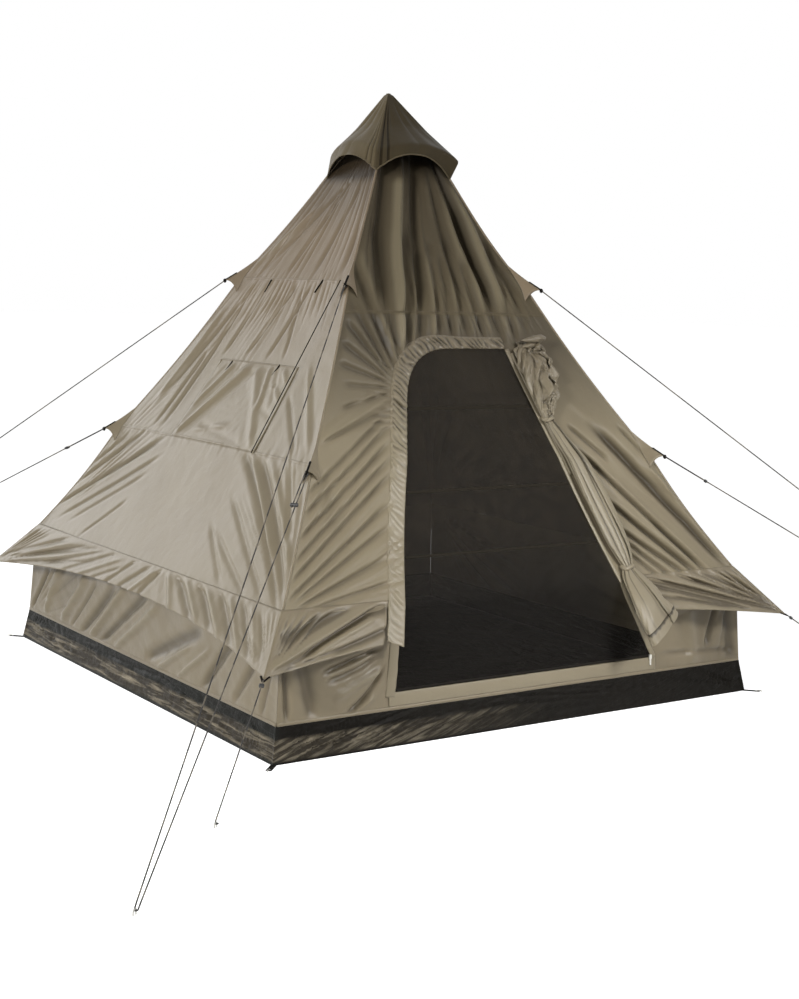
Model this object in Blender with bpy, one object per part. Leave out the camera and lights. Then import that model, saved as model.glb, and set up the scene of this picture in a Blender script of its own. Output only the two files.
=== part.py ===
"""Square four-sided tipi tent, pitched, with its pole, guy lines and pegs.

Metres, +Z up. The origin is the middle of the groundsheet's underside. The doorway faces -Y.
"""

import math

import bmesh
import bpy
from mathutils import Matrix, Vector

# Driving sizes of the canopy
FLOOR_SIDE = 2.40  # groundsheet along the ground
TUB_HEIGHT = 0.137  # turned-up side of the groundsheet
TUB_LEAN = 0.024  # how far the tub's rim stands in from its foot
WALL_LEAN = 0.023  # how far the eave stands in from the tub's rim
EAVE_HEIGHT = 0.533
ROOF_RISE = 2.002  # from the eave to the point where the roof faces would meet
VENT_HALF = 0.103  # half the square hole that the roof leaves round the pole

# Thicknesses and clearances
CLOTH = 0.0016  # horizontal thickness of a cloth panel
TUB_SHEET = 0.0022
SEAM_GAP = 0.0004  # between two pieces that are sewn, seated or laid on each other

# Doorway, seen from outside: x to the right, heights from the ground
SILL_HEIGHT = 0.205
DOOR_TOP = 1.475
DOOR_FOOT_LEFT = 0.656
DOOR_EAVE_LEFT = 0.615
DOOR_EAVE_RIGHT = 0.474
DOOR_HEAD_RIGHT = 0.262
ARCH_SPRING_LEFT = 0.322
ARCH_SPRING_HEIGHT = 1.272
ARCH_CROWN_LEFT = -0.03
SEAM_ABOVE_DOOR = 0.144  # from the doorway's top to the seam across the front face
ZIP_WIDTH = 0.008  # gap for the zip between the mesh door and its frame

# Band round the doorway
BAND_SIDE_WIDTH = 0.075
BAND_TOP_WIDTH = 0.046
BAND_THICKNESS = 0.004
BAND_INSET = 0.003
STORM_BAND_FOOT = 0.392

# Zip slider on the sill
SLIDER_WIDTH = 0.012
SLIDER_HEIGHT = 0.018
SLIDER_THICKNESS = 0.006
PULL_WIDTH = 0.007
PULL_LENGTH = 0.026
SLIDER_FROM_CORNER = 0.011

# Eave skirt
SKIRT_LAP = 0.022  # how far it laps up over the roof
SKIRT_TIP_FLARE = 0.053  # how far its tips stand out from the roof's plane
SKIRT_TIP_HEIGHT = 0.356
SKIRT_MIDDLE_HEIGHT = 0.437
SKIRT_MIDDLE_FLARE = 0.007
SKIRT_FOLD = 0.007
SKIRT_FOLDS = 3
SKIRT_CLEAR_OF_BAND = 0.006
SKIRT_PARTING_RIGHT = 0.690  # where it stops right of the doorway
SKIRT_ROWS = 7
SKIRT_COLUMNS = 18

# Hip tape and its beak-shaped flaps
TAPE_WING = 0.024
COLLAR_BELOW_POINT = 0.020  # where the tape closes round the pole's top, below the roof's point
COLLAR_LENGTH = 0.160
BEAK_WING = 0.045
BEAK_OUT = 0.052  # how far a beak's tip stands out along each side
BEAK_RISE = 0.10  # from the tip up to where the beak leaves the hip
BEAK_DROP = 0.075
BEAK_BASE_ABOVE_TIP = 0.020  # the wings' height above the tip where the beak is widest
UPPER_BEAK_HEIGHT = 1.726
MIDDLE_BEAK_HEIGHT = 1.022

# Vent cap
CAP_RISE = 0.016  # its point above the point where the roof faces would meet
CAP_HALF = 0.222
CAP_DROP = 0.335  # from its point down to its corners
CAP_ARCH = 0.094  # how far its edge rises between two corners
CAP_ARCH_POWER = 2.4
CAP_SHEET = 0.0020
CAP_ROWS = 4
CAP_STEPS = 10  # columns on each of its four sides

# Pole
POLE_RADIUS = 0.0125
POLE_WALL = 0.0016
SPIGOT_LENGTH = 0.060
POLE_JOINT_LOW = 0.86
POLE_JOINT_HIGH = 1.70
FOOT_RADIUS = 0.032
FOOT_HEIGHT = 0.040
FOOT_BASE = 0.006
POLE_SIDES = 16

# Window on the left face, x measured as seen from outside
WINDOW_TOP = 1.383
WINDOW_FOOT = 1.040
WINDOW_TOP_LEFT = 0.300
WINDOW_TOP_RIGHT = 0.367
WINDOW_FOOT_LEFT = 0.359
WINDOW_FOOT_RIGHT = 0.384
WINDOW_LAP = 0.030  # how far the flap laps over the opening all round
NET_THICKNESS = 0.0010
TIE_CORD_RADIUS = 0.0022
TIE_CORD_TOP = 1.742
TIE_CORD_ASIDE = 0.008

# Guy lines, pegs and runners; distances out are along the ground from the middle, over a corner
CORD_RADIUS = 0.0025
FAR_PEG_OUT = 3.14
NEAR_PEG_OUT = 2.39
CORNER_PEG_OUT = 0.052  # beyond the tub's corner
PEG_RADIUS = 0.0026
PEG_DEPTH = 0.180
PEG_HOOK = 0.022
PEG_HOOK_DROP = 0.014
PEG_BEND = 0.0042  # radius of its bends
LOOP_LENGTH = 0.066  # webbing peg loop beyond the tub's corner
LOOP_WIDTH = 0.022
LOOP_HOLE = 0.0062
LINE_BEND_HEIGHT = 0.0125
LINE_EASE = 0.0125  # stretch in which a line eases from its slope into the turn round its peg
DOUBLED_LENGTH = 0.215  # stretch of the middle line that runs twice, from its flap to its runner
DOUBLED_SPACING = 0.012
RUNNER_LENGTH = 0.014
RUNNER_WIDTH = 0.030
SHORT_RUNNER_WIDTH = 0.018
RUNNER_THICKNESS = 0.011
RUNNER_BEVEL = 0.0018
RUNNER_BORE_GAP = 0.0004
SHORT_RUNNER_FROM_TIP = 0.030

# Tied-back door flap: down from the doorway's top, aside from its right edge, width, depth that it stands out
FLAP_STATIONS = (
    (-0.017, 0.077, 0.105, 0.022),
    (0.035, 0.030, 0.176, 0.040),
    (0.125, 0.016, 0.184, 0.056),
    (0.215, 0.020, 0.132, 0.048),
    (0.299, 0.023, 0.048, 0.026),
    (0.375, 0.022, 0.056, 0.036),
    (0.475, 0.019, 0.064, 0.044),
    (0.595, 0.020, 0.058, 0.042),
    (0.699, 0.021, 0.058, 0.040),
    (0.812, 0.021, 0.074, 0.040),
    (0.879, 0.024, 0.056, 0.028),
    (0.945, 0.038, 0.098, 0.040),
    (1.025, 0.082, 0.150, 0.048),
    (1.083, 0.114, 0.172, 0.046),
    (1.155, 0.140, 0.118, 0.034),
    (1.219, 0.162, 0.036, 0.016),
)
FLAP_SIDES = 26
FLAP_FOLDS = 5
FLAP_FOLD_DEPTH = 0.20  # share of the bundle's half width
FLAP_CLEAR_OF_SKIRT = 0.028
FLAP_EASE = 0.12  # height over which the flap leaves the roof to pass over the skirt
TIE_ROLL_LENGTH = 0.165
TIE_ROLL_RADIUS = 0.015

# Sizes that follow from those above
FLOOR_HALF = FLOOR_SIDE / 2
RIM_HALF = FLOOR_HALF - TUB_LEAN
EAVE_HALF = RIM_HALF - WALL_LEAN
ROOF_POINT = EAVE_HEIGHT + ROOF_RISE
ROOF_TOP = ROOF_POINT - ROOF_RISE * VENT_HALF / EAVE_HALF
FRONT_SEAM = DOOR_TOP + SEAM_ABOVE_DOOR
HIP_TRIM = CLOTH + SEAM_GAP  # what each panel leaves free for its neighbour at a corner
SKIRT_TOP = EAVE_HEIGHT + SKIRT_LAP
CAP_POINT = ROOF_POINT + CAP_RISE
ROOF_FACING = ROOF_RISE / math.hypot(ROOF_RISE, EAVE_HALF)  # horizontal part of the roof's normal
DOOR_LEAN = (DOOR_EAVE_LEFT - ARCH_SPRING_LEFT) / (ARCH_SPRING_HEIGHT - EAVE_HEIGHT)
PEG_WRAP = PEG_RADIUS + SEAM_GAP + CORD_RADIUS  # radius of a line's turn round its peg
SIDES = ("front", "right", "back", "left")
CORNERS = ("front_right", "back_right", "back_left", "front_left")


def new_material(name, colour, roughness, metallic=0.0):
    """Principled material in a linear colour."""
    material = bpy.data.materials.new(name)
    material.use_nodes = True
    shader = material.node_tree.nodes["Principled BSDF"]
    shader.inputs["Base Color"].default_value = (*colour, 1.0)
    shader.inputs["Roughness"].default_value = roughness
    shader.inputs["Metallic"].default_value = metallic
    material.diffuse_color = (*colour, 1.0)
    return material


def finish_object(name, mesh_data, material, origin=Vector((0, 0, 0))):
    """Make an object of a bmesh whose points are in world metres, with its origin where asked."""
    bmesh.ops.recalc_face_normals(mesh_data, faces=mesh_data.faces)
    bmesh.ops.translate(mesh_data, verts=mesh_data.verts, vec=-origin)
    mesh = bpy.data.meshes.new(name)
    mesh_data.to_mesh(mesh)
    mesh_data.free()
    mesh.materials.append(material)
    item = bpy.data.objects.new(name, mesh)
    item.location = origin
    bpy.context.scene.collection.objects.link(item)
    return item


def skin(height):
    """Half width of the canopy's outer face at a height."""
    if height >= EAVE_HEIGHT:
        return roof_line(height)
    share = (height - TUB_HEIGHT) / (EAVE_HEIGHT - TUB_HEIGHT)
    return RIM_HALF + (EAVE_HALF - RIM_HALF) * share


def roof_line(height):
    """Half width of the roof's plane at a height, carried on below the eave."""
    return EAVE_HALF * (ROOF_POINT - height) / ROOF_RISE


def on_side(side, across, height, out=0.0, surface=skin):
    """Point of one side: across to the right as seen from outside, and out from its outer face."""
    turn = Matrix.Rotation(math.radians(90 * SIDES.index(side)), 3, "Z")
    return turn @ Vector((across, -(surface(height) + out), height))


def over_corner(corner, out, height, aside=0.0):
    """Point over a corner's diagonal: out from the middle, and aside to the left seen from the middle."""
    angle = math.radians(90 * CORNERS.index(corner) - 45)
    outwards = Vector((math.cos(angle), math.sin(angle), 0))
    sideways = Vector((-math.sin(angle), math.cos(angle), 0))
    return outwards * out + sideways * aside + Vector((0, 0, height))


def panel(name, side, outlines, material, out=0.0, depth=CLOTH, surface=skin, origin=Vector((0, 0, 0))):
    """Sheet on one side: outlines of (across, height) joined into a plate that is depth thick inwards."""
    sheet = bmesh.new()
    outer = {}
    inner = {}
    edges = {}
    for outline in outlines:
        for across, height in outline:
            key = (round(across, 6), round(height, 6))
            if key not in outer:
                outer[key] = sheet.verts.new(on_side(side, across, height, out, surface))
                inner[key] = sheet.verts.new(on_side(side, across, height, out - depth, surface))
    for outline in outlines:
        keys = [(round(across, 6), round(height, 6)) for across, height in outline]
        sheet.faces.new([outer[key] for key in keys])
        sheet.faces.new([inner[key] for key in reversed(keys)])
        for start, end in zip(keys, keys[1:] + keys[:1]):
            edges[(start, end)] = True
    for start, end in edges:
        if (end, start) not in edges:
            sheet.faces.new((outer[end], outer[start], inner[start], inner[end]))
    return finish_object(name, sheet, material, origin)


def grid_shell(name, outer, inner, material, closed=False, points=()):
    """Closed shell between two grids; closed joins its ends, and two points close its first row."""
    shell = bmesh.new()
    rows = len(outer)
    columns = len(outer[0])
    outside = [[shell.verts.new(point) for point in row] for row in outer]
    inside = [[shell.verts.new(point) for point in row] for row in inner]
    steps = columns if closed else columns - 1
    for row in range(rows - 1):
        for column in range(steps):
            beside = (column + 1) % columns
            for grid in (outside, inside):
                shell.faces.new(
                    (grid[row][column], grid[row][beside], grid[row + 1][beside], grid[row + 1][column])
                )
    for row in (rows - 1,) if points else (0, rows - 1):
        for column in range(steps):
            beside = (column + 1) % columns
            shell.faces.new(
                (outside[row][column], outside[row][beside], inside[row][beside], inside[row][column])
            )
    for grid, point in zip((outside, inside), points):
        peak = shell.verts.new(point)
        for column in range(steps):
            shell.faces.new((grid[0][column], grid[0][(column + 1) % columns], peak))
    if not closed:
        for column in (0, columns - 1):
            for row in range(rows - 1):
                shell.faces.new(
                    (outside[row][column], outside[row + 1][column], inside[row + 1][column], inside[row][column])
                )
    return finish_object(name, shell, material)


def turned(name, profile, material, sides, spin_axis="Z", centre=Vector((0, 0, 0))):
    """Solid turned from a profile of (radius, distance along the axis); a radius of 0 closes an end."""
    solid = bmesh.new()
    rings = []
    for radius, along in profile:
        if radius == 0:
            rings.append([solid.verts.new((0, 0, along))])
            continue
        ring = []
        for step in range(sides):
            angle = 2 * math.pi * step / sides
            ring.append(solid.verts.new((radius * math.cos(angle), radius * math.sin(angle), along)))
        rings.append(ring)
    for first, second in zip(rings, rings[1:]):
        if len(first) == 1 and len(second) == 1:
            continue
        for step in range(sides):
            beside = (step + 1) % sides
            corners = (first[step % len(first)], first[beside % len(first)])
            corners += (second[beside % len(second)], second[step % len(second)])
            solid.faces.new(list(dict.fromkeys(corners)))
    if len(rings[0]) > 1 and len(rings[-1]) > 1:
        for step in range(sides):
            beside = (step + 1) % sides
            solid.faces.new((rings[0][step], rings[0][beside], rings[-1][beside], rings[-1][step]))
    if spin_axis == "X":
        bmesh.ops.rotate(solid, verts=solid.verts, matrix=Matrix.Rotation(math.radians(90), 3, "Y"))
    bmesh.ops.translate(solid, verts=solid.verts, vec=centre)
    item = finish_object(name, solid, material)
    item.data.shade_smooth()
    return item


def tube(name, points, radius, material, resolution=2, origin=Vector((0, 0, 0))):
    """Round rod or cord through a list of points, with filled ends."""
    curve = bpy.data.curves.new(name, "CURVE")
    curve.dimensions = "3D"
    curve.bevel_depth = radius
    curve.bevel_resolution = resolution
    curve.use_fill_caps = True
    spline = curve.splines.new("POLY")
    spline.points.add(len(points) - 1)
    for spot, point in zip(spline.points, points):
        spot.co = (*(point - origin), 1.0)
    curve.materials.append(material)
    item = bpy.data.objects.new(name, curve)
    item.location = origin
    bpy.context.scene.collection.objects.link(item)
    return item


def boolean(item, cutter, operation):
    """Cut or join one object with another, which is left out of the build as a guide."""
    cutter.hide_render = True
    cutter.display_type = "WIRE"
    modifier = item.modifiers.new(f"{operation.lower()} {cutter.name}", "BOOLEAN")
    modifier.operation = operation
    modifier.solver = "EXACT"
    modifier.object = cutter
    return modifier


def door_left(height):
    """Left edge of the doorway at a height up to the arch's spring."""
    if height >= EAVE_HEIGHT:
        share = (height - EAVE_HEIGHT) / (ARCH_SPRING_HEIGHT - EAVE_HEIGHT)
        return -(DOOR_EAVE_LEFT + (ARCH_SPRING_LEFT - DOOR_EAVE_LEFT) * share)
    share = (height - SILL_HEIGHT) / (EAVE_HEIGHT - SILL_HEIGHT)
    return -(DOOR_FOOT_LEFT + (DOOR_EAVE_LEFT - DOOR_FOOT_LEFT) * share)


def door_right(height):
    """Right edge of the doorway at a height: straight on the roof, upright on the wall."""
    share = max(0.0, (height - EAVE_HEIGHT) / (DOOR_TOP - EAVE_HEIGHT))
    return DOOR_EAVE_RIGHT + (DOOR_HEAD_RIGHT - DOOR_EAVE_RIGHT) * share


def arch_points(steps=8):
    """Rounded upper left corner of the doorway, from its spring to its crown, as a cubic curve."""
    spring = Vector((-ARCH_SPRING_LEFT, ARCH_SPRING_HEIGHT))
    crown = Vector((ARCH_CROWN_LEFT, DOOR_TOP))
    rise = DOOR_TOP - ARCH_SPRING_HEIGHT
    first = spring + Vector((DOOR_LEAN, 1.0)) * rise * 0.6
    second = crown - Vector(((ARCH_CROWN_LEFT + ARCH_SPRING_LEFT) * 0.55, 0))
    points = []
    for step in range(steps + 1):
        t = step / steps
        point = spring * (1 - t) ** 3 + first * 3 * t * (1 - t) ** 2
        point += second * 3 * t * t * (1 - t) + crown * t**3
        points.append((point.x, point.y))
    return points


def offset_line(points, distances):
    """Polyline moved to its left by a distance at each point."""
    moved = []
    for index, (x, z) in enumerate(points):
        before = Vector(points[max(index - 1, 0)])
        after = Vector(points[min(index + 1, len(points) - 1)])
        along = (after - before).normalized()
        moved.append((x - along.y * distances[index], z + along.x * distances[index]))
    return moved


def make_front(cloth):
    """Upper front panel above the seam, and the lower one cut by the doorway."""
    edge = SEAM_GAP / 2
    top = ROOF_TOP
    upper = [
        (-(skin(FRONT_SEAM + edge) - HIP_TRIM), FRONT_SEAM + edge),
        (skin(FRONT_SEAM + edge) - HIP_TRIM, FRONT_SEAM + edge),
        (skin(top) - HIP_TRIM, top),
        (-(skin(top) - HIP_TRIM), top),
    ]
    panel("roof_front_upper", "front", [upper], cloth)
    foot = EAVE_HEIGHT + edge
    seam = FRONT_SEAM - edge
    lower = [(-(skin(foot) - HIP_TRIM), foot), (door_left(foot), foot)]
    lower += arch_points()
    lower += [(DOOR_HEAD_RIGHT, DOOR_TOP), (door_right(foot), foot)]
    lower += [(skin(foot) - HIP_TRIM, foot), (skin(seam) - HIP_TRIM, seam), (-(skin(seam) - HIP_TRIM), seam)]
    panel("roof_front_lower", "front", [lower], cloth)
    rim = TUB_HEIGHT + SEAM_GAP
    head = EAVE_HEIGHT - edge
    wall = [(-(skin(rim) - HIP_TRIM), rim), (skin(rim) - HIP_TRIM, rim), (skin(head) - HIP_TRIM, head)]
    wall += [(door_right(head), head), (door_right(head), SILL_HEIGHT)]
    wall += [(door_left(SILL_HEIGHT), SILL_HEIGHT), (door_left(head), head), (-(skin(head) - HIP_TRIM), head)]
    panel("wall_front", "front", [wall], cloth)


def make_plain_sides(cloth):
    """Right, back and left roof faces and walls, each one panel."""
    foot = EAVE_HEIGHT + SEAM_GAP / 2
    head = EAVE_HEIGHT - SEAM_GAP / 2
    rim = TUB_HEIGHT + SEAM_GAP
    faces = {}
    for side in SIDES[1:]:
        wide = skin(foot) - HIP_TRIM
        narrow = skin(ROOF_TOP) - HIP_TRIM
        roof = [(-wide, foot), (wide, foot), (narrow, ROOF_TOP), (-narrow, ROOF_TOP)]
        faces[side] = panel(f"roof_{side}", side, [roof], cloth)
        low = skin(rim) - HIP_TRIM
        high = skin(head) - HIP_TRIM
        panel(f"wall_{side}", side, [[(-low, rim), (low, rim), (high, head), (-high, head)]], cloth)
    return faces


def window_outline(inset):
    """Window's outline seen from outside, drawn in by a distance on every edge."""
    return [
        (-WINDOW_FOOT_LEFT + inset, WINDOW_FOOT + inset),
        (WINDOW_FOOT_RIGHT - inset, WINDOW_FOOT + inset),
        (WINDOW_TOP_RIGHT - inset, WINDOW_TOP - inset),
        (-WINDOW_TOP_LEFT + inset, WINDOW_TOP - inset),
    ]


def make_window(face, cloth, net, cord):
    """Opening in the left face, its net, the flap hinged along its top, and the tie cord beside it."""
    reach = 10 * CLOTH
    cutter = panel(
        "window_cutter", "left", [window_outline(WINDOW_LAP)], net, out=reach, depth=2 * reach + CLOTH
    )
    boolean(face, cutter, "DIFFERENCE")
    panel("window_net", "left", [window_outline(WINDOW_LAP + SEAM_GAP)], net, depth=NET_THICKNESS)
    hinge = on_side("left", 0, WINDOW_TOP, SEAM_GAP + CLOTH)
    panel("window_flap", "left", [window_outline(0)], cloth, out=SEAM_GAP + CLOTH, origin=hinge)
    out = (SEAM_GAP + TIE_CORD_RADIUS) / ROOF_FACING
    beside = WINDOW_FOOT_RIGHT + TIE_CORD_ASIDE + TIE_CORD_RADIUS
    ends = [on_side("left", beside, height, out) for height in (TIE_CORD_TOP, WINDOW_FOOT)]
    tube("window_tie_cord", ends, TIE_CORD_RADIUS, cord)


def skirt_depth(down, share):
    """Outer depth and height of a skirt, down from its top to its hem, at a share of its half width."""
    hem = SKIRT_MIDDLE_HEIGHT + (SKIRT_TIP_HEIGHT - SKIRT_MIDDLE_HEIGHT) * share**2
    height = SKIRT_TOP + (hem - SKIRT_TOP) * down
    flare = SKIRT_MIDDLE_FLARE + (SKIRT_TIP_FLARE - SKIRT_MIDDLE_FLARE) * abs(share) ** 3
    return roof_line(height) + SEAM_GAP + CLOTH + flare * down, height


def skirt_fold(down, share, height):
    """Outward swell of the folds that fan out from the nearer tip."""
    along = (1 - abs(share)) * EAVE_HALF
    fan = math.atan2(height - SKIRT_TIP_HEIGHT, along + 1e-6)
    wave = 0.5 - 0.5 * math.cos(4 * SKIRT_FOLDS * fan)
    return SKIRT_FOLD * wave * down * (1 - share**6)


def band_edge(height):
    """Left edge of the storm band, measured leftwards from the middle, with the skirt's clearance."""
    edge = DOOR_EAVE_LEFT - DOOR_LEAN * (height - EAVE_HEIGHT)
    return edge + (BAND_INSET + BAND_SIDE_WIDTH) * math.hypot(1, DOOR_LEAN) + SKIRT_CLEAR_OF_BAND


def make_skirt(name, side, cloth, left=None, right=None):
    """Eave skirt that flares and folds towards its tips; left and right give an end short of the corner."""
    turn = Matrix.Rotation(math.radians(90 * SIDES.index(side)), 3, "Z")
    columns = SKIRT_COLUMNS if left is None and right is None else SKIRT_COLUMNS // 3
    outer = []
    inner = []
    for row in range(SKIRT_ROWS + 1):
        down = row / SKIRT_ROWS
        corner, tip_height = skirt_depth(down, 1.0)
        reach = corner - HIP_TRIM
        first = -reach if left is None else left(tip_height)
        last = reach if right is None else right(tip_height)
        outside = []
        inside = []
        for column in range(columns + 1):
            across = first + (last - first) * column / columns
            share = across / reach
            depth, height = skirt_depth(down, share)
            depth += skirt_fold(down, share, height)
            outside.append(turn @ Vector((across, -depth, height)))
            inside.append(turn @ Vector((across, -(depth - CLOTH), height)))
        outer.append(outside)
        inner.append(inside)
    return grid_shell(name, outer, inner, cloth)


def make_skirts(cloth):
    """Skirts of all four sides; the front one is parted by the doorway."""
    make_skirt("skirt_front_left", "front", cloth, right=lambda height: -band_edge(height))
    make_skirt("skirt_front_right", "front", cloth, left=lambda height: SKIRT_PARTING_RIGHT)
    for side in SIDES[1:]:
        make_skirt(f"skirt_{side}", side, cloth)


def hip_rows():
    """Rows down a hip: height of the wings, half width and height of the ridge, wing width, collar or not."""
    collar = POLE_RADIUS + SEAM_GAP
    seat = ROOF_POINT - COLLAR_BELOW_POINT
    rows = [(seat, collar, seat, collar - SEAM_GAP)]
    start = seat - COLLAR_LENGTH
    rows.append((start, skin(start) + SEAM_GAP, start, TAPE_WING))
    for tip in (UPPER_BEAK_HEIGHT, MIDDLE_BEAK_HEIGHT):
        top = tip + BEAK_RISE
        foot = tip - BEAK_DROP
        rows.append((top, skin(top) + SEAM_GAP, top, TAPE_WING))
        base = tip + BEAK_BASE_ABOVE_TIP
        rows.append((base, skin(base) + SEAM_GAP + BEAK_OUT, tip, BEAK_WING))
        below = tip - BEAK_DROP / 2
        rows.append((below, skin(below) + SEAM_GAP + BEAK_OUT / 4, below, BEAK_WING))
        rows.append((foot, skin(foot) + SEAM_GAP, foot, TAPE_WING))
    end = SKIRT_TOP + SEAM_GAP
    rows.append((end, skin(end) + SEAM_GAP, end, TAPE_WING))
    return rows


def make_hips(cloth):
    """V-shaped tape over each hip, from the pole's top to the skirt, with its two beaks."""
    for corner in CORNERS:
        angle = math.radians(90 * CORNERS.index(corner))
        turn = Matrix.Rotation(angle, 3, "Z")
        outer = []
        inner = []
        for index, (height, ridge, ridge_height, wing) in enumerate(hip_rows()):
            half = ridge if index == 0 else skin(height) + SEAM_GAP
            outside = (
                Vector((half - wing, -(half + CLOTH), height)),
                Vector((ridge + CLOTH, -(ridge + CLOTH), ridge_height)),
                Vector((half + CLOTH, -(half - wing), height)),
            )
            inside = (
                Vector((half - wing, -half, height)),
                Vector((ridge, -ridge, ridge_height)),
                Vector((half, -(half - wing), height)),
            )
            outer.append([turn @ point for point in outside])
            inner.append([turn @ point for point in inside])
        grid_shell(f"hip_{corner}", outer, inner, cloth)


def beak_reach(tip_height):
    """Distance from the middle to a beak's tip, over a corner."""
    return (skin(tip_height + BEAK_BASE_ABOVE_TIP) + SEAM_GAP + BEAK_OUT + CLOTH) * math.sqrt(2)


def skirt_reach():
    """Distance from the middle to the tips of two neighbouring skirts."""
    depth, _ = skirt_depth(1.0, 1.0)
    return (2 * depth - HIP_TRIM) / math.sqrt(2)


def make_cap(cloth):
    """Vent cap: a flatter pyramid whose edge arches up between its corners."""
    outer = []
    inner = []
    slope = CAP_DROP / CAP_HALF
    sheet = Vector((0, 0, CAP_SHEET))
    point = Vector((0, 0, CAP_POINT))
    for row in range(1, CAP_ROWS + 1):
        down = row / CAP_ROWS
        outside = []
        for side in range(4):
            turn = Matrix.Rotation(math.radians(90 * side), 3, "Z")
            for step in range(CAP_STEPS):
                share = -1 + 2 * step / CAP_STEPS
                drop = (CAP_DROP - CAP_ARCH * (1 - abs(share) ** CAP_ARCH_POWER)) * down
                half = drop / slope
                outside.append(turn @ Vector((half * share, -half, CAP_POINT - drop)))
        outer.append(outside)
        inner.append([spot - sheet for spot in outside])
    grid_shell("vent_cap", outer, inner, cloth, closed=True, points=(point, point - sheet))


def make_tub(sheet):
    """Groundsheet with turned-up sides and a webbing peg loop at each corner."""
    tub = bmesh.new()
    rings = []
    sizes = (
        (FLOOR_HALF, 0.0),
        (RIM_HALF, TUB_HEIGHT),
        (RIM_HALF - CLOTH, TUB_HEIGHT),
        (FLOOR_HALF - TUB_SHEET, TUB_SHEET),
    )
    for half, height in sizes:
        corners = ((-half, -half), (half, -half), (half, half), (-half, half))
        rings.append([tub.verts.new((x, y, height)) for x, y in corners])
    for lower, upper in zip(rings, rings[1:]):
        for step in range(4):
            beside = (step + 1) % 4
            tub.faces.new((lower[step], lower[beside], upper[beside], upper[step]))
    tub.faces.new(rings[0])
    tub.faces.new(rings[-1])
    item = finish_object("groundsheet_tub", tub, sheet)
    reach = FLOOR_HALF * math.sqrt(2)
    lap = LOOP_WIDTH  # stretch of the strap that lies inside the tub's corner
    for corner in CORNERS:
        turn = Matrix.Rotation(math.radians(90 * CORNERS.index(corner) - 45), 3, "Z")
        strap = bmesh.new()
        bmesh.ops.create_cube(strap, size=1.0)
        bmesh.ops.scale(strap, verts=strap.verts, vec=(LOOP_LENGTH + lap, LOOP_WIDTH, TUB_SHEET))
        bmesh.ops.rotate(strap, verts=strap.verts, matrix=turn)
        middle = over_corner(corner, reach + (LOOP_LENGTH - lap) / 2, TUB_SHEET / 2)
        bmesh.ops.translate(strap, verts=strap.verts, vec=middle)
        boolean(item, finish_object(f"loop_guide_{corner}", strap, sheet), "UNION")
        hole = bmesh.new()
        bmesh.ops.create_cone(
            hole, cap_ends=True, segments=12, radius1=LOOP_HOLE, radius2=LOOP_HOLE, depth=8 * TUB_SHEET
        )
        bmesh.ops.translate(hole, verts=hole.verts, vec=over_corner(corner, reach + CORNER_PEG_OUT, 0.0))
        boolean(item, finish_object(f"hole_guide_{corner}", hole, sheet), "DIFFERENCE")


def make_pole(steel, rubber):
    """Three steel sections with spigots, a foot on the groundsheet and a rounded top under the cap."""
    floor = TUB_SHEET + SEAM_GAP
    socket = floor + FOOT_BASE
    bore = POLE_RADIUS + SEAM_GAP
    foot = [
        (0, floor),
        (FOOT_RADIUS, floor),
        (FOOT_RADIUS, floor + FOOT_BASE),
        (bore + FOOT_BASE, floor + FOOT_HEIGHT),
        (bore, floor + FOOT_HEIGHT),
        (bore, socket),
        (0, socket),
    ]
    turned("pole_foot", foot, rubber, POLE_SIDES)
    inside = POLE_RADIUS - POLE_WALL
    spigot = inside - SEAM_GAP
    hollow = spigot - POLE_WALL
    lengths = ((socket + SEAM_GAP, POLE_JOINT_LOW), (POLE_JOINT_LOW + SEAM_GAP, POLE_JOINT_HIGH))
    for name, (start, end) in zip(("pole_lower", "pole_middle"), lengths):
        section = [
            (POLE_RADIUS, start),
            (POLE_RADIUS, end),
            (spigot, end),
            (spigot, end + SPIGOT_LENGTH),
            (hollow, end + SPIGOT_LENGTH),
            (hollow, end - 2 * POLE_WALL),
            (inside, end - 4 * POLE_WALL),
            (inside, start),
        ]
        turned(name, section, steel, POLE_SIDES)
    start = POLE_JOINT_HIGH + SEAM_GAP
    deep = start + 2 * SPIGOT_LENGTH
    lean = math.atan2(CAP_HALF, CAP_DROP)
    centre = CAP_POINT - CAP_SHEET - (POLE_RADIUS + SEAM_GAP) / math.sin(lean)
    upper = [(inside, start)]
    upper += [(POLE_RADIUS, start)]
    for step in range(4):
        angle = math.radians(22.5 * step)
        upper.append((POLE_RADIUS * math.cos(angle), centre + POLE_RADIUS * math.sin(angle)))
    upper += [(0, centre + POLE_RADIUS), (0, deep), (inside, deep)]
    turned("pole_upper", upper, steel, POLE_SIDES)


def make_mesh_door(net):
    """Mesh door on the roof's and the wall's plane, with its origin on its hinge line."""
    foot = SILL_HEIGHT + ZIP_WIDTH
    head = DOOR_TOP - ZIP_WIDTH
    eave_left = (door_left(EAVE_HEIGHT) + ZIP_WIDTH, EAVE_HEIGHT)
    eave_right = (door_right(EAVE_HEIGHT) - SEAM_GAP, EAVE_HEIGHT)
    arch = offset_line(arch_points(), [-ZIP_WIDTH] * len(arch_points()))
    roof = [eave_left, eave_right, (door_right(head) - SEAM_GAP, head), *reversed(arch)]
    wall = [(door_left(foot) + ZIP_WIDTH, foot), (eave_right[0], foot), eave_right, eave_left]
    hinge = on_side("front", door_right(EAVE_HEIGHT) - SEAM_GAP / 2, EAVE_HEIGHT)
    panel("mesh_door", "front", [roof, wall], net, depth=NET_THICKNESS, origin=hinge)


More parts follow.
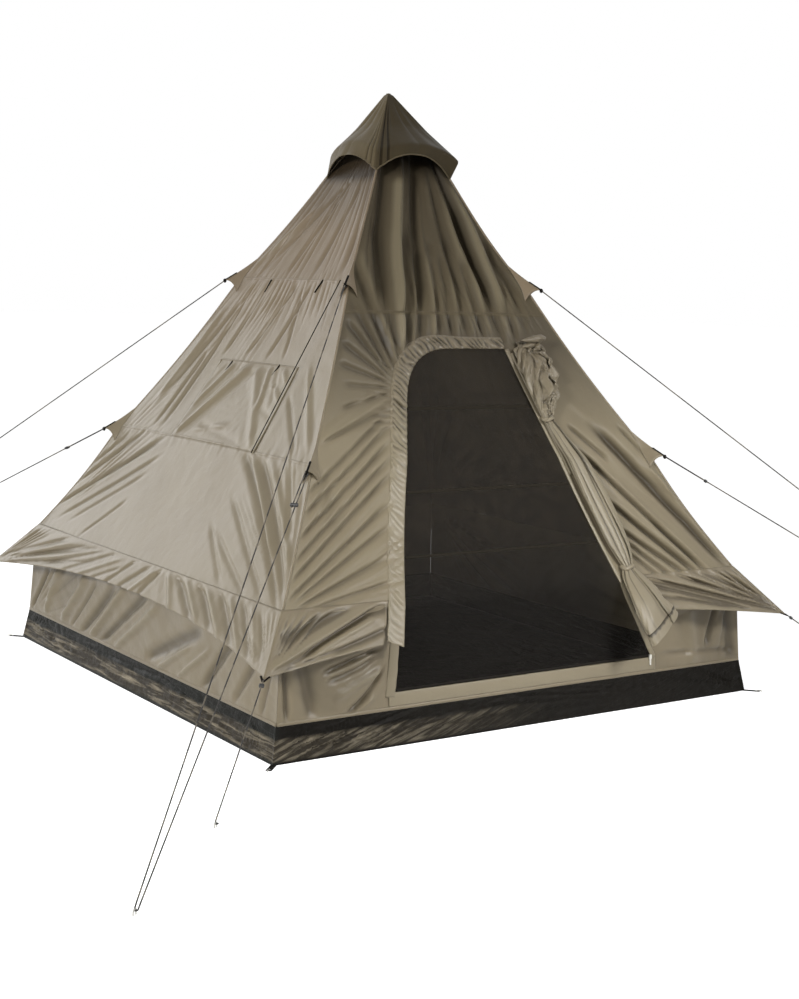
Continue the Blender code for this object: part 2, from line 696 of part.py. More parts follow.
def make_zip_slider(metal):
    """Slider with its pull, on the zip along the sill, at the right end of its track."""
    middle = DOOR_FOOT_LEFT - SLIDER_FROM_CORNER
    half = SLIDER_WIDTH / 2
    pull = PULL_WIDTH / 2
    low = SILL_HEIGHT - SLIDER_HEIGHT / 2
    high = SILL_HEIGHT + SLIDER_HEIGHT / 2
    outline = [(-pull, low - PULL_LENGTH), (pull, low - PULL_LENGTH), (pull, low), (half, low)]
    outline += [(half, high), (-half, high), (-half, low), (-pull, low)]
    outline = [(middle + across, height) for across, height in outline]
    out = SEAM_GAP + SLIDER_THICKNESS
    origin = on_side("front", middle, SILL_HEIGHT, out)
    panel("zip_slider", "front", [outline], metal, out=out, depth=SLIDER_THICKNESS, origin=origin)


def make_door_band(cloth):
    """Gathered band round the doorway, with the storm band that hangs on past the eave on its left."""
    foot_left = -(DOOR_EAVE_LEFT - DOOR_LEAN * (STORM_BAND_FOOT - EAVE_HEIGHT))
    line = [(foot_left, STORM_BAND_FOOT), (door_left(EAVE_HEIGHT), EAVE_HEIGHT)]
    line += [*arch_points(), (DOOR_HEAD_RIGHT, DOOR_TOP)]
    arch_start = 2
    widths = []
    for index in range(len(line)):
        share = min(1.0, max(0.0, (index - arch_start) / (len(line) - arch_start - 2)))
        widths.append(BAND_SIDE_WIDTH + (BAND_TOP_WIDTH - BAND_SIDE_WIDTH) * share)
    near = offset_line(line, [BAND_INSET] * len(line))
    far = offset_line(line, [BAND_INSET + width for width in widths])
    strips = []
    for index in range(len(line) - 1):
        strips.append([near[index], near[index + 1], far[index + 1], far[index]])
    out = SEAM_GAP + BAND_THICKNESS
    panel("door_band", "front", strips, cloth, out=out, depth=BAND_THICKNESS, surface=roof_line)


def flap_rows():
    """Stations of the tied-back flap with one more halfway between each two."""
    rows = []
    for first, second in zip(FLAP_STATIONS, FLAP_STATIONS[1:]):
        rows.append(first)
        rows.append(tuple((a + b) / 2 for a, b in zip(first, second)))
    rows.append(FLAP_STATIONS[-1])
    return rows


def make_door_flap(cloth):
    """Door flap gathered into a folded bundle and tied back along the doorway's right edge."""
    bundle = bmesh.new()
    rings = []
    for index, (down, aside, width, depth) in enumerate(flap_rows()):
        height = DOOR_TOP - down
        middle = door_right(height) + aside + width / 2
        half = width / 2
        below_skirt_top = (SKIRT_TOP + SKIRT_LAP / 2 - height) / FLAP_EASE
        clear = FLAP_CLEAR_OF_SKIRT * min(1.0, max(0.0, below_skirt_top))
        ring = []
        for step in range(FLAP_SIDES):
            angle = 2 * math.pi * step / FLAP_SIDES
            crease = 0.5 + 0.5 * math.cos(2 * FLAP_FOLDS * angle + 0.25 * index)
            swell = 1 - FLAP_FOLD_DEPTH * crease * max(0.0, math.sin(angle)) ** 0.5
            across = middle + half * math.cos(angle) * swell
            out = SEAM_GAP + clear + depth / 2 * (1 + math.sin(angle) * swell)
            ring.append(bundle.verts.new(on_side("front", across, height, out, roof_line)))
        rings.append(ring)
    for lower, upper in zip(rings, rings[1:]):
        for step in range(FLAP_SIDES):
            beside = (step + 1) % FLAP_SIDES
            bundle.faces.new((lower[step], lower[beside], upper[beside], upper[step]))
    bundle.faces.new(rings[0])
    bundle.faces.new(rings[-1])
    finish_object("door_flap_tied_back", bundle, cloth)
    height = DOOR_TOP - FLAP_STATIONS[0][0] + TIE_ROLL_RADIUS + SEAM_GAP
    middle = door_right(DOOR_TOP) + FLAP_STATIONS[0][1] + FLAP_STATIONS[0][2] / 2
    half = TIE_ROLL_LENGTH / 2
    taper = TIE_ROLL_RADIUS
    profile = [(0, -half), (taper * 0.6, taper - half), (taper, -half / 3), (taper, half / 3)]
    profile += [(taper * 0.7, half - taper), (0, half)]
    centre = on_side("front", middle, height, (TIE_ROLL_RADIUS + SEAM_GAP) / ROOF_FACING)
    turned("door_tie_roll", profile, cloth, 12, spin_axis="X", centre=centre)


def on_line(corner, start, along, distance, aside):
    """Point a distance down a straight line over a corner; start and along are (out, height) pairs."""
    return over_corner(corner, start[0] + along[0] * distance, start[1] + along[1] * distance, aside)


def line_direction(start, end):
    """Unit direction and length between two (out, height) pairs."""
    length = math.dist(start, end)
    return ((end[0] - start[0]) / length, (end[1] - start[1]) / length), length


def peg_turn(corner, peg_out, first, last, steps=6):
    """Points of a line's turn round its peg, between two angles in degrees; 0 is the side away from the tent."""
    points = []
    for step in range(steps + 1):
        angle = math.radians(first + (last - first) * step / steps)
        out = peg_out + PEG_WRAP * math.cos(angle)
        points.append(over_corner(corner, out, LINE_BEND_HEIGHT, PEG_WRAP * math.sin(angle)))
    return points


def make_runner(name, centre, along, normal, bores, width, plastic):
    """Line runner: a rounded bar with a bore for each stretch of line that passes through it."""
    aside = normal.cross(along)
    frame = Matrix((along, aside, normal)).transposed()
    bar = bmesh.new()
    bmesh.ops.create_cube(bar, size=1.0)
    bmesh.ops.scale(bar, verts=bar.verts, vec=(RUNNER_LENGTH, width, RUNNER_THICKNESS))
    bmesh.ops.bevel(
        bar, geom=bar.edges[:], offset=RUNNER_BEVEL, segments=1, affect="EDGES", profile=0.5
    )
    bmesh.ops.rotate(bar, verts=bar.verts, matrix=frame)
    bmesh.ops.translate(bar, verts=bar.verts, vec=centre)
    item = finish_object(name, bar, plastic, centre)
    bore = CORD_RADIUS + RUNNER_BORE_GAP
    for number, shift in enumerate(bores):
        hole = bmesh.new()
        bmesh.ops.create_cone(
            hole, cap_ends=True, segments=16, radius1=bore, radius2=bore, depth=3 * RUNNER_LENGTH
        )
        bmesh.ops.rotate(hole, verts=hole.verts, matrix=Matrix.Rotation(math.radians(90), 3, "Y"))
        bmesh.ops.rotate(hole, verts=hole.verts, matrix=frame)
        bmesh.ops.translate(hole, verts=hole.verts, vec=centre + aside * shift)
        boolean(item, finish_object(f"bore_guide_{name}_{number}", hole, plastic), "DIFFERENCE")


def make_long_line(corner, cord, plastic):
    """One line from the upper beak down round the far peg and up to the middle beak, doubled to its runner."""
    peg = (FAR_PEG_OUT, LINE_BEND_HEIGHT)
    upper = (beak_reach(UPPER_BEAK_HEIGHT), UPPER_BEAK_HEIGHT)
    middle = (beak_reach(MIDDLE_BEAK_HEIGHT), MIDDLE_BEAK_HEIGHT)
    down, length = line_direction(upper, peg)
    points = [on_line(corner, upper, down, SEAM_GAP + CORD_RADIUS, 0.0)]
    points.append(on_line(corner, upper, down, length - 2 * LINE_EASE, -PEG_WRAP))
    points.append(over_corner(corner, peg[0] - LINE_EASE / 2, peg[1] + LINE_EASE / 5, -PEG_WRAP))
    points += peg_turn(corner, FAR_PEG_OUT, -90, 90)
    down, length = line_direction(middle, peg)
    points.append(over_corner(corner, peg[0] - LINE_EASE / 2, peg[1] + LINE_EASE / 5, PEG_WRAP))
    points.append(on_line(corner, middle, down, length - 2 * LINE_EASE, PEG_WRAP))
    half = DOUBLED_SPACING / 2
    turn = SEAM_GAP + CORD_RADIUS + half
    points.append(on_line(corner, middle, down, turn + 2 * DOUBLED_LENGTH, half))
    for step in range(7):
        angle = math.radians(90 - 30 * step)
        points.append(on_line(corner, middle, down, turn - half * math.cos(angle), half * math.sin(angle)))
    points.append(on_line(corner, middle, down, turn + DOUBLED_LENGTH, -half))
    tube(f"guy_line_{corner}", points, CORD_RADIUS, cord)
    along = over_corner(corner, -down[0], -down[1])
    normal = over_corner(corner, -down[1], down[0])
    centre = on_line(corner, middle, down, turn + DOUBLED_LENGTH - RUNNER_LENGTH, 0.0)
    make_runner(f"runner_{corner}", centre, along, normal, (-half, half), RUNNER_WIDTH, plastic)


def make_short_line(corner, cord, plastic):
    """Line from the skirt's tip to the near peg, with its runner just below the tip."""
    peg = (NEAR_PEG_OUT, LINE_BEND_HEIGHT)
    tip = (skirt_reach(), SKIRT_TIP_HEIGHT)
    down, length = line_direction(tip, peg)
    points = [on_line(corner, tip, down, SEAM_GAP, 0.0)]
    points.append(on_line(corner, tip, down, length - 2 * LINE_EASE, -PEG_WRAP))
    points.append(over_corner(corner, peg[0] - LINE_EASE / 2, peg[1] + LINE_EASE / 5, -PEG_WRAP))
    points += peg_turn(corner, NEAR_PEG_OUT, -90, 150, steps=8)
    tube(f"eave_line_{corner}", points, CORD_RADIUS, cord)
    along = (points[0] - points[1]).normalized()
    upright = over_corner(corner, -down[1], down[0])
    normal = (upright - along * upright.dot(along)).normalized()
    centre = points[0] - along * SHORT_RUNNER_FROM_TIP
    make_runner(f"eave_runner_{corner}", centre, along, normal, (0.0,), SHORT_RUNNER_WIDTH, plastic)


def make_peg(name, corner, out, top, steel):
    """Wire peg driven straight down, with a hook that points away from the tent."""
    chord = PEG_BEND * (1 - math.sqrt(0.5))
    profile = [
        (0, -PEG_DEPTH),
        (0, top - PEG_BEND),
        (chord, top - chord),
        (PEG_BEND, top),
        (PEG_HOOK - PEG_BEND, top),
        (PEG_HOOK - chord, top - chord),
        (PEG_HOOK, top - PEG_BEND),
        (PEG_HOOK, top - PEG_HOOK_DROP),
    ]
    points = [over_corner(corner, out + reach, height) for reach, height in profile]
    tube(name, points, PEG_RADIUS, steel, origin=over_corner(corner, out, 0.0))


def make_guying(cord, plastic, steel):
    """Lines, runners and pegs of all four corners."""
    line_top = LINE_BEND_HEIGHT + CORD_RADIUS + SEAM_GAP + PEG_RADIUS
    loop_top = TUB_SHEET + SEAM_GAP + PEG_RADIUS
    for corner in CORNERS:
        make_long_line(corner, cord, plastic)
        make_short_line(corner, cord, plastic)
        make_peg(f"far_peg_{corner}", corner, FAR_PEG_OUT, line_top, steel)
        make_peg(f"near_peg_{corner}", corner, NEAR_PEG_OUT, line_top, steel)
        loop_out = FLOOR_HALF * math.sqrt(2) + CORNER_PEG_OUT
        make_peg(f"corner_peg_{corner}", corner, loop_out, loop_top, steel)


def main():
    for item in list(bpy.data.objects):
        bpy.data.objects.remove(item, do_unlink=True)
    cloth = new_material("olive_polyester", (0.27, 0.24, 0.17), 0.7)
    dark = new_material("dark_groundsheet", (0.028, 0.026, 0.022), 0.35)
    net = new_material("black_mesh", (0.02, 0.019, 0.016), 0.85)
    cord = new_material("dark_cord", (0.03, 0.027, 0.02), 0.8)
    steel = new_material("galvanised_steel", (0.55, 0.55, 0.53), 0.35, 1.0)
    plastic = new_material("black_plastic", (0.02, 0.02, 0.02), 0.5)
    rubber = new_material("black_rubber", (0.03, 0.03, 0.03), 0.9)
    make_front(cloth)
    faces = make_plain_sides(cloth)
    make_window(faces["left"], cloth, net, cord)
    make_skirts(cloth)
    make_hips(cloth)
    make_cap(cloth)
    make_tub(dark)
    make_pole(steel, rubber)
    make_mesh_door(net)
    make_zip_slider(steel)
    make_door_band(cloth)
    make_door_flap(cloth)
    make_guying(cord, plastic, steel)


if __name__ == "__main__":
    main()
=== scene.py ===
# Square tipi tent: stretched cloth with its folds, net door, tied-back flap, cords, webbing and pegs
# Lengths are in metres unless a name says otherwise; +Z is up, the doorway faces -Y

import math

import bpy
import numpy as np
from mathutils import Matrix, Vector


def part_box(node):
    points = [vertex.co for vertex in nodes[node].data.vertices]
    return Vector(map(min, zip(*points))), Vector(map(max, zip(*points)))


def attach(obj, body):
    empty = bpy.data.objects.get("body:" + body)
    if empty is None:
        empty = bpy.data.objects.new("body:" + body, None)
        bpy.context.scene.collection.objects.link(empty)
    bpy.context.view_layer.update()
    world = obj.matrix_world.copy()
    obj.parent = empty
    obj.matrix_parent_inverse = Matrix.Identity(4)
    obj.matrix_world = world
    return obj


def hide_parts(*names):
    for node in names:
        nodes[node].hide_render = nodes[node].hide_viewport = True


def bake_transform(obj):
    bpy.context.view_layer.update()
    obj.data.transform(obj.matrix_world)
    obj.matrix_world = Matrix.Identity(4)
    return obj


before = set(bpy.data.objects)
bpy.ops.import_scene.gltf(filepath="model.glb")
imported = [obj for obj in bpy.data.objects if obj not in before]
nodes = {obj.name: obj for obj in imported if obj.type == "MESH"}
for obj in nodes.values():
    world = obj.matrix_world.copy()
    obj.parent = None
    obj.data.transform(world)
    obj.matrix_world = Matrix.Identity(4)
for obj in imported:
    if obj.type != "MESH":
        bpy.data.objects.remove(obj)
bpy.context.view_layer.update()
scene = bpy.context.scene
print("frame loaded:", len(nodes), "nodes")

# Camera, found from the straight edges of the tub, the walls and the hips in the photograph
cameraView = {
    "place": (-4.0944, -6.1545, 1.7403),
    "turn": -34.537,  # degrees, from looking along +Y
    "down": 7.544, "roll": 1.826, "focalPixels": 1638.46, "widthPixels": 799, "sensorMillimetres": 36.0,
}


def addCamera(view):
    turn, down, roll = (math.radians(view[key]) for key in ("turn", "down", "roll"))
    forward = Vector((-math.sin(turn) * math.cos(down), math.cos(turn) * math.cos(down), -math.sin(down)))
    level = forward.cross(Vector((0, 0, 1))).normalized()
    upright = level.cross(forward)
    right = level * math.cos(roll) + upright * math.sin(roll)
    up = upright * math.cos(roll) - level * math.sin(roll)
    data = bpy.data.cameras.new("photoView")
    data.sensor_fit = "HORIZONTAL"
    data.sensor_width = view["sensorMillimetres"]
    data.lens = view["focalPixels"] / view["widthPixels"] * view["sensorMillimetres"]
    camera = bpy.data.objects.new("photoView", data)
    axes = Matrix((right, up, -forward)).transposed().to_4x4()
    camera.matrix_world = Matrix.Translation(Vector(view["place"])) @ axes
    scene.collection.objects.link(camera)
    scene.camera = camera


addCamera(cameraView)

# Main sizes of the canopy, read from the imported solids
sides = ("front", "right", "back", "left")
corners = ("front_right", "back_right", "back_left", "front_left")
seamGap = 0.0004  # what the solids keep free at a seam
clothSolid = 0.0016  # thickness of the panels among the solids
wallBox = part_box("wall_right")
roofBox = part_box("roof_right")
rimHeight = wallBox[0][2]
rimHalf = wallBox[1][0]
eaveHeight = wallBox[1][2]
eaveHalf = roofBox[1][0]
crownHeight = roofBox[1][2]
crownHalf = roofBox[0][0] + clothSolid
roofSlope = (eaveHalf - crownHalf) / (crownHeight - eaveHeight)
roofPoint = eaveHeight + eaveHalf / roofSlope
roofFacing = 1 / math.hypot(1, roofSlope)
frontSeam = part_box("roof_front_upper")[0][2]
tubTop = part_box("groundsheet_tub")[1][2]
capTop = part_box("vent_cap")[1][2]

# Doorway as seen from outside, across and up
doorway = {
    "sill": 0.205, "top": 1.475, "footLeft": -0.656, "eaveLeft": -0.615, "springLeft": -0.322,
    "springHeight": 1.272, "crownLeft": -0.03, "headRight": 0.262, "eaveRight": 0.474,
    "footRight": 0.656,
    "archUp": 0.6,  # how far the arch runs on straight at its spring, as a share of its rise
    "archAlong": 0.55,  # the same at its crown, as a share of its run
    "bandWidth": 0.07,  # the binding down its left side
}
doorLean = (doorway["springLeft"] - doorway["eaveLeft"]) / (doorway["springHeight"] - eaveHeight)


def smooth(low, high, value):
    share = np.clip((value - low) / (high - low), 0.0, 1.0)
    return share * share * (3 - 2 * share)


# Large odd numbers that scatter the noise's angles, and the size they are kept to
scatter = {"column": 374761393, "row": 668265263, "mix": 1274126177, "mask": 0xFFFFFFFF}


def latticeTurn(column, row, seed):
    # one fixed angle for each lattice point, the same on every run
    mixed = column.astype(np.int64) * scatter["column"] + row.astype(np.int64) * scatter["row"]
    mixed = (mixed + seed * scatter["mix"]) & scatter["mask"]
    mixed = ((mixed ^ (mixed >> 13)) * scatter["mix"]) & scatter["mask"]
    return ((mixed ^ (mixed >> 16)) & 0xFFFF) / 65536.0 * 2 * math.pi


def noise(x, y, seed):
    x, y = np.broadcast_arrays(np.asarray(x, float), np.asarray(y, float))
    column, row = np.floor(x), np.floor(y)
    dx, dy = x - column, y - row
    easeX = dx * dx * dx * (dx * (dx * 6 - 15) + 10)
    easeY = dy * dy * dy * (dy * (dy * 6 - 15) + 10)
    corner = {}
    for stepX in (0, 1):
        for stepY in (0, 1):
            turn = latticeTurn(column + stepX, row + stepY, seed)
            corner[stepX, stepY] = np.cos(turn) * (dx - stepX) + np.sin(turn) * (dy - stepY)
    low = corner[0, 0] + easeX * (corner[1, 0] - corner[0, 0])
    high = corner[0, 1] + easeX * (corner[1, 1] - corner[0, 1])
    return 1.5 * (low + easeY * (high - low))


def crumple(x, y, size, seed):
    # two sizes of small creases with sharp valleys, about -0.5 to 0.5
    large = np.abs(noise(x / size, y / size, seed))
    small = np.abs(noise(x / size * 2.3 + large, y / size * 2.3, seed + 1))
    return 0.75 * large + 0.35 * small - 0.3


def roofHalf(height):
    return (roofPoint - height) * roofSlope


def wallHalf(height):
    return rimHalf + (eaveHalf - rimHalf) * (height - rimHeight) / (eaveHeight - rimHeight)


# The crown leans to the right of the picture: by this in the tent's x, and by the slant times it in its y
crownLean = {"right": 0.018, "slant": -0.69, "from": 1.76, "full": 2.3}


def leanAt(height):
    return crownLean["right"] * smooth(crownLean["from"], crownLean["full"], np.asarray(height, float))


def place(side, across, depth, height):
    # side's own axes to the tent's: across to the right as seen from outside, depth outwards
    angle = math.radians(90 * sides.index(side))
    across, depth, height = np.broadcast_arrays(across, depth, height)
    x = across * math.cos(angle) + depth * math.sin(angle)
    y = across * math.sin(angle) - depth * math.cos(angle)
    lean = leanAt(height)
    return np.stack((x + lean, y + crownLean["slant"] * lean, height), axis=-1)


def overCorner(corner, out, height, aside=0.0):
    angle = math.radians(90 * corners.index(corner) - 45)
    away = Vector((math.cos(angle), math.sin(angle), 0))
    beside = Vector((-math.sin(angle), math.cos(angle), 0))
    lean = float(leanAt(height))
    return away * out + beside * aside + Vector((lean, crownLean["slant"] * lean, height))


# How the cloth hangs between its anchors. Every fold fans out from a point that pulls on the cloth
hang = {
    "hipAnchors": (eaveHeight, 1.03, 1.735, 2.3),
    "hipSag": 0.013, "faceSag": 0.024,
    "dark": (1.6, 2.15, 2.26),  # painted shade under the cap: how much the cloth darkens between two heights
    "leftDark": ((0.8, 1.9, 2.16), (0.8, 2.14, 2.22)),  # more painted shade under the cap, on the left roof alone
    "crownSpread": 0.01,  # the folds under the crown spread the cloth wider than the seams alone would
    "spreadGrows": (1.78, 2.22), "spreadEnds": (2.26, 2.36),
    "edge": 0.044,  # the folds die out this near a hip's seam
    "crumple": (0.0016, 0.1),  # height and size of the small creases all over
    "swell": (0.006, 0.45),  # the same for the wide unevenness
}


def fanOut(across, height, folds):
    # rounded backs with narrow valleys between them, as light coated cloth creases where a point pulls it
    out = np.zeros(np.broadcast(across, height).shape)
    for (atX, atZ), step, (start, full, fading, end), (low, high), tall, seed, sharp, wander in folds:
        dx = across - atX
        dz = (height - atZ) / roofFacing
        radius = np.hypot(dx, dz)
        turn = np.degrees(np.arctan2(dz, dx))
        turn = np.where(turn < (low + high) / 2 - 180, turn + 360, turn)
        turn = np.where(turn > (low + high) / 2 + 180, turn - 360, turn)
        phase = np.radians(turn) / step
        wandering = wander * noise(phase * 0.31, 0.5, seed)
        phase = phase + wandering + 0.1 * noise(phase * 0.2, radius * 1.5, seed + 1)
        back = np.abs(np.sin(math.pi * phase)) ** sharp - 0.62
        strength = np.clip(0.7 + 1.2 * noise(phase * 0.47, radius * 1.3, seed + 2), 0.05, 1.6)
        uneven = 0.5 * (end - fading) * noise(phase * 0.9, 0.5, seed + 3)
        within = smooth(start, full, radius) * (1 - smooth(fading, end, radius + uneven))
        soft = 0.15 * (high - low)
        within = within * smooth(low, low + soft, turn) * (1 - smooth(high - soft, high, turn))
        out = out + tall * np.minimum(radius / full, 1) * back * strength * within
    return out


def creaseOut(across, height, creases):
    # single folds: start, end, width at both, height (below 0 a valley) and, if it bows sideways, how far
    out = np.zeros(np.broadcast(across, height).shape)
    for startX, startZ, endX, endZ, firstWide, lastWide, tall, *bow in creases:
        dx, dz = endX - startX, (endZ - startZ) / roofFacing
        length = math.hypot(dx, dz)
        x, z = across - startX, (height - startZ) / roofFacing
        share = (x * dx + z * dz) / length**2
        aside = (z * dx - x * dz) / length - sum(bow) * 4 * share * (1 - share)
        wide = firstWide + (lastWide - firstWide) * np.clip(share, 0, 1)
        shape = 1.25 * np.exp(-((aside / wide) ** 2)) - 0.25 * np.exp(-((aside / (2.6 * wide)) ** 2))
        out = out + tall * shape * smooth(-0.1, 0.14, share) * (1 - smooth(0.84, 1.1, share))
    return out


# Each fan of folds has the point that pulls, the radians from one fold to the next, the distances where they
# start, are full, begin to fade and end, the degrees where the fan starts and ends, their height, a seed, how
# sharp they are (below 1 the valleys are narrow and the backs wide) and how unevenly they are spaced
roofFolds = {
    "front": [
        ((0, 2.6), 0.062, (0.5, 0.85, 1.02, 1.2), (-126, -54), 0.005, 4, 0.8, 0.8),
        ((0, 2.6), 0.034, (0.95, 1.06, 1.22, 1.32), (-112, -62), 0.008, 5, 0.7, 0.6),
        ((-0.12, 1.2), 0.088, (0.27, 0.3, 0.34, 0.44), (95, 200), 0.008, 6, 0.8, 0.5),
        ((-1.3, 0.42), 0.036, (0.55, 0.68, 0.8, 1.02), (16, 58), 0.005, 7, 0.7, 0.7),
        ((-1.16, 0.53), 0.06, (0.1, 0.35, 0.6, 0.75), (4, 30), 0.006, 8, 0.65, 0.7),
        ((0.2, 1.4), 0.05, (0.7, 0.85, 1.2, 1.45), (-62, -30), 0.004, 9, 0.7, 0.7),
    ],
    "left": [
        ((0, 2.62), 0.06, (0.35, 0.6, 0.9, 1.05), (-128, -52), 0.0055, 23, 0.65, 0.7),
        ((0.35, 2.9), 0.024, (1.42, 1.55, 1.85, 2.1), (-121, -102), 0.0055, 24, 0.6, 0.6),
        ((0, 2.75), 0.03, (1.1, 1.2, 1.3, 1.46), (-112, -62), 0.005, 25, 0.6, 0.6),
        ((-1.16, 0.53), 0.05, (0.2, 0.45, 0.75, 1.1), (34, 62), 0.0045, 26, 0.65, 0.7),
        ((1.16, 0.53), 0.045, (0.15, 0.4, 0.62, 0.85), (118, 162), 0.005, 27, 0.7, 0.7),
    ],
    "right": [
        ((0, 2.62), 0.12, (0.25, 0.45, 0.95, 1.25), (-130, -50), 0.016, 43, 0.7, 0.7),
        ((0, 2.75), 0.04, (0.85, 1.12, 1.32, 1.55), (-118, -62), 0.006, 44, 0.6, 0.6),
        ((-1.16, 0.53), 0.075, (0.12, 0.45, 0.75, 1.1), (12, 62), 0.011, 45, 0.7, 0.7),
        ((1.16, 0.53), 0.08, (0.12, 0.45, 0.7, 1.05), (118, 168), 0.011, 46, 0.7, 0.7),
    ],
    "back": [
        ((0, 2.62), 0.13, (0.25, 0.45, 0.95, 1.25), (-130, -50), 0.016, 63, 0.7, 0.7),
        ((0, 2.75), 0.044, (0.85, 1.12, 1.32, 1.55), (-118, -62), 0.006, 64, 0.6, 0.6),
        ((-1.16, 0.53), 0.078, (0.12, 0.45, 0.7, 1.05), (12, 62), 0.011, 65, 0.7, 0.7),
        ((1.16, 0.53), 0.072, (0.12, 0.45, 0.75, 1.1), (118, 168), 0.011, 66, 0.7, 0.7),
    ],
}
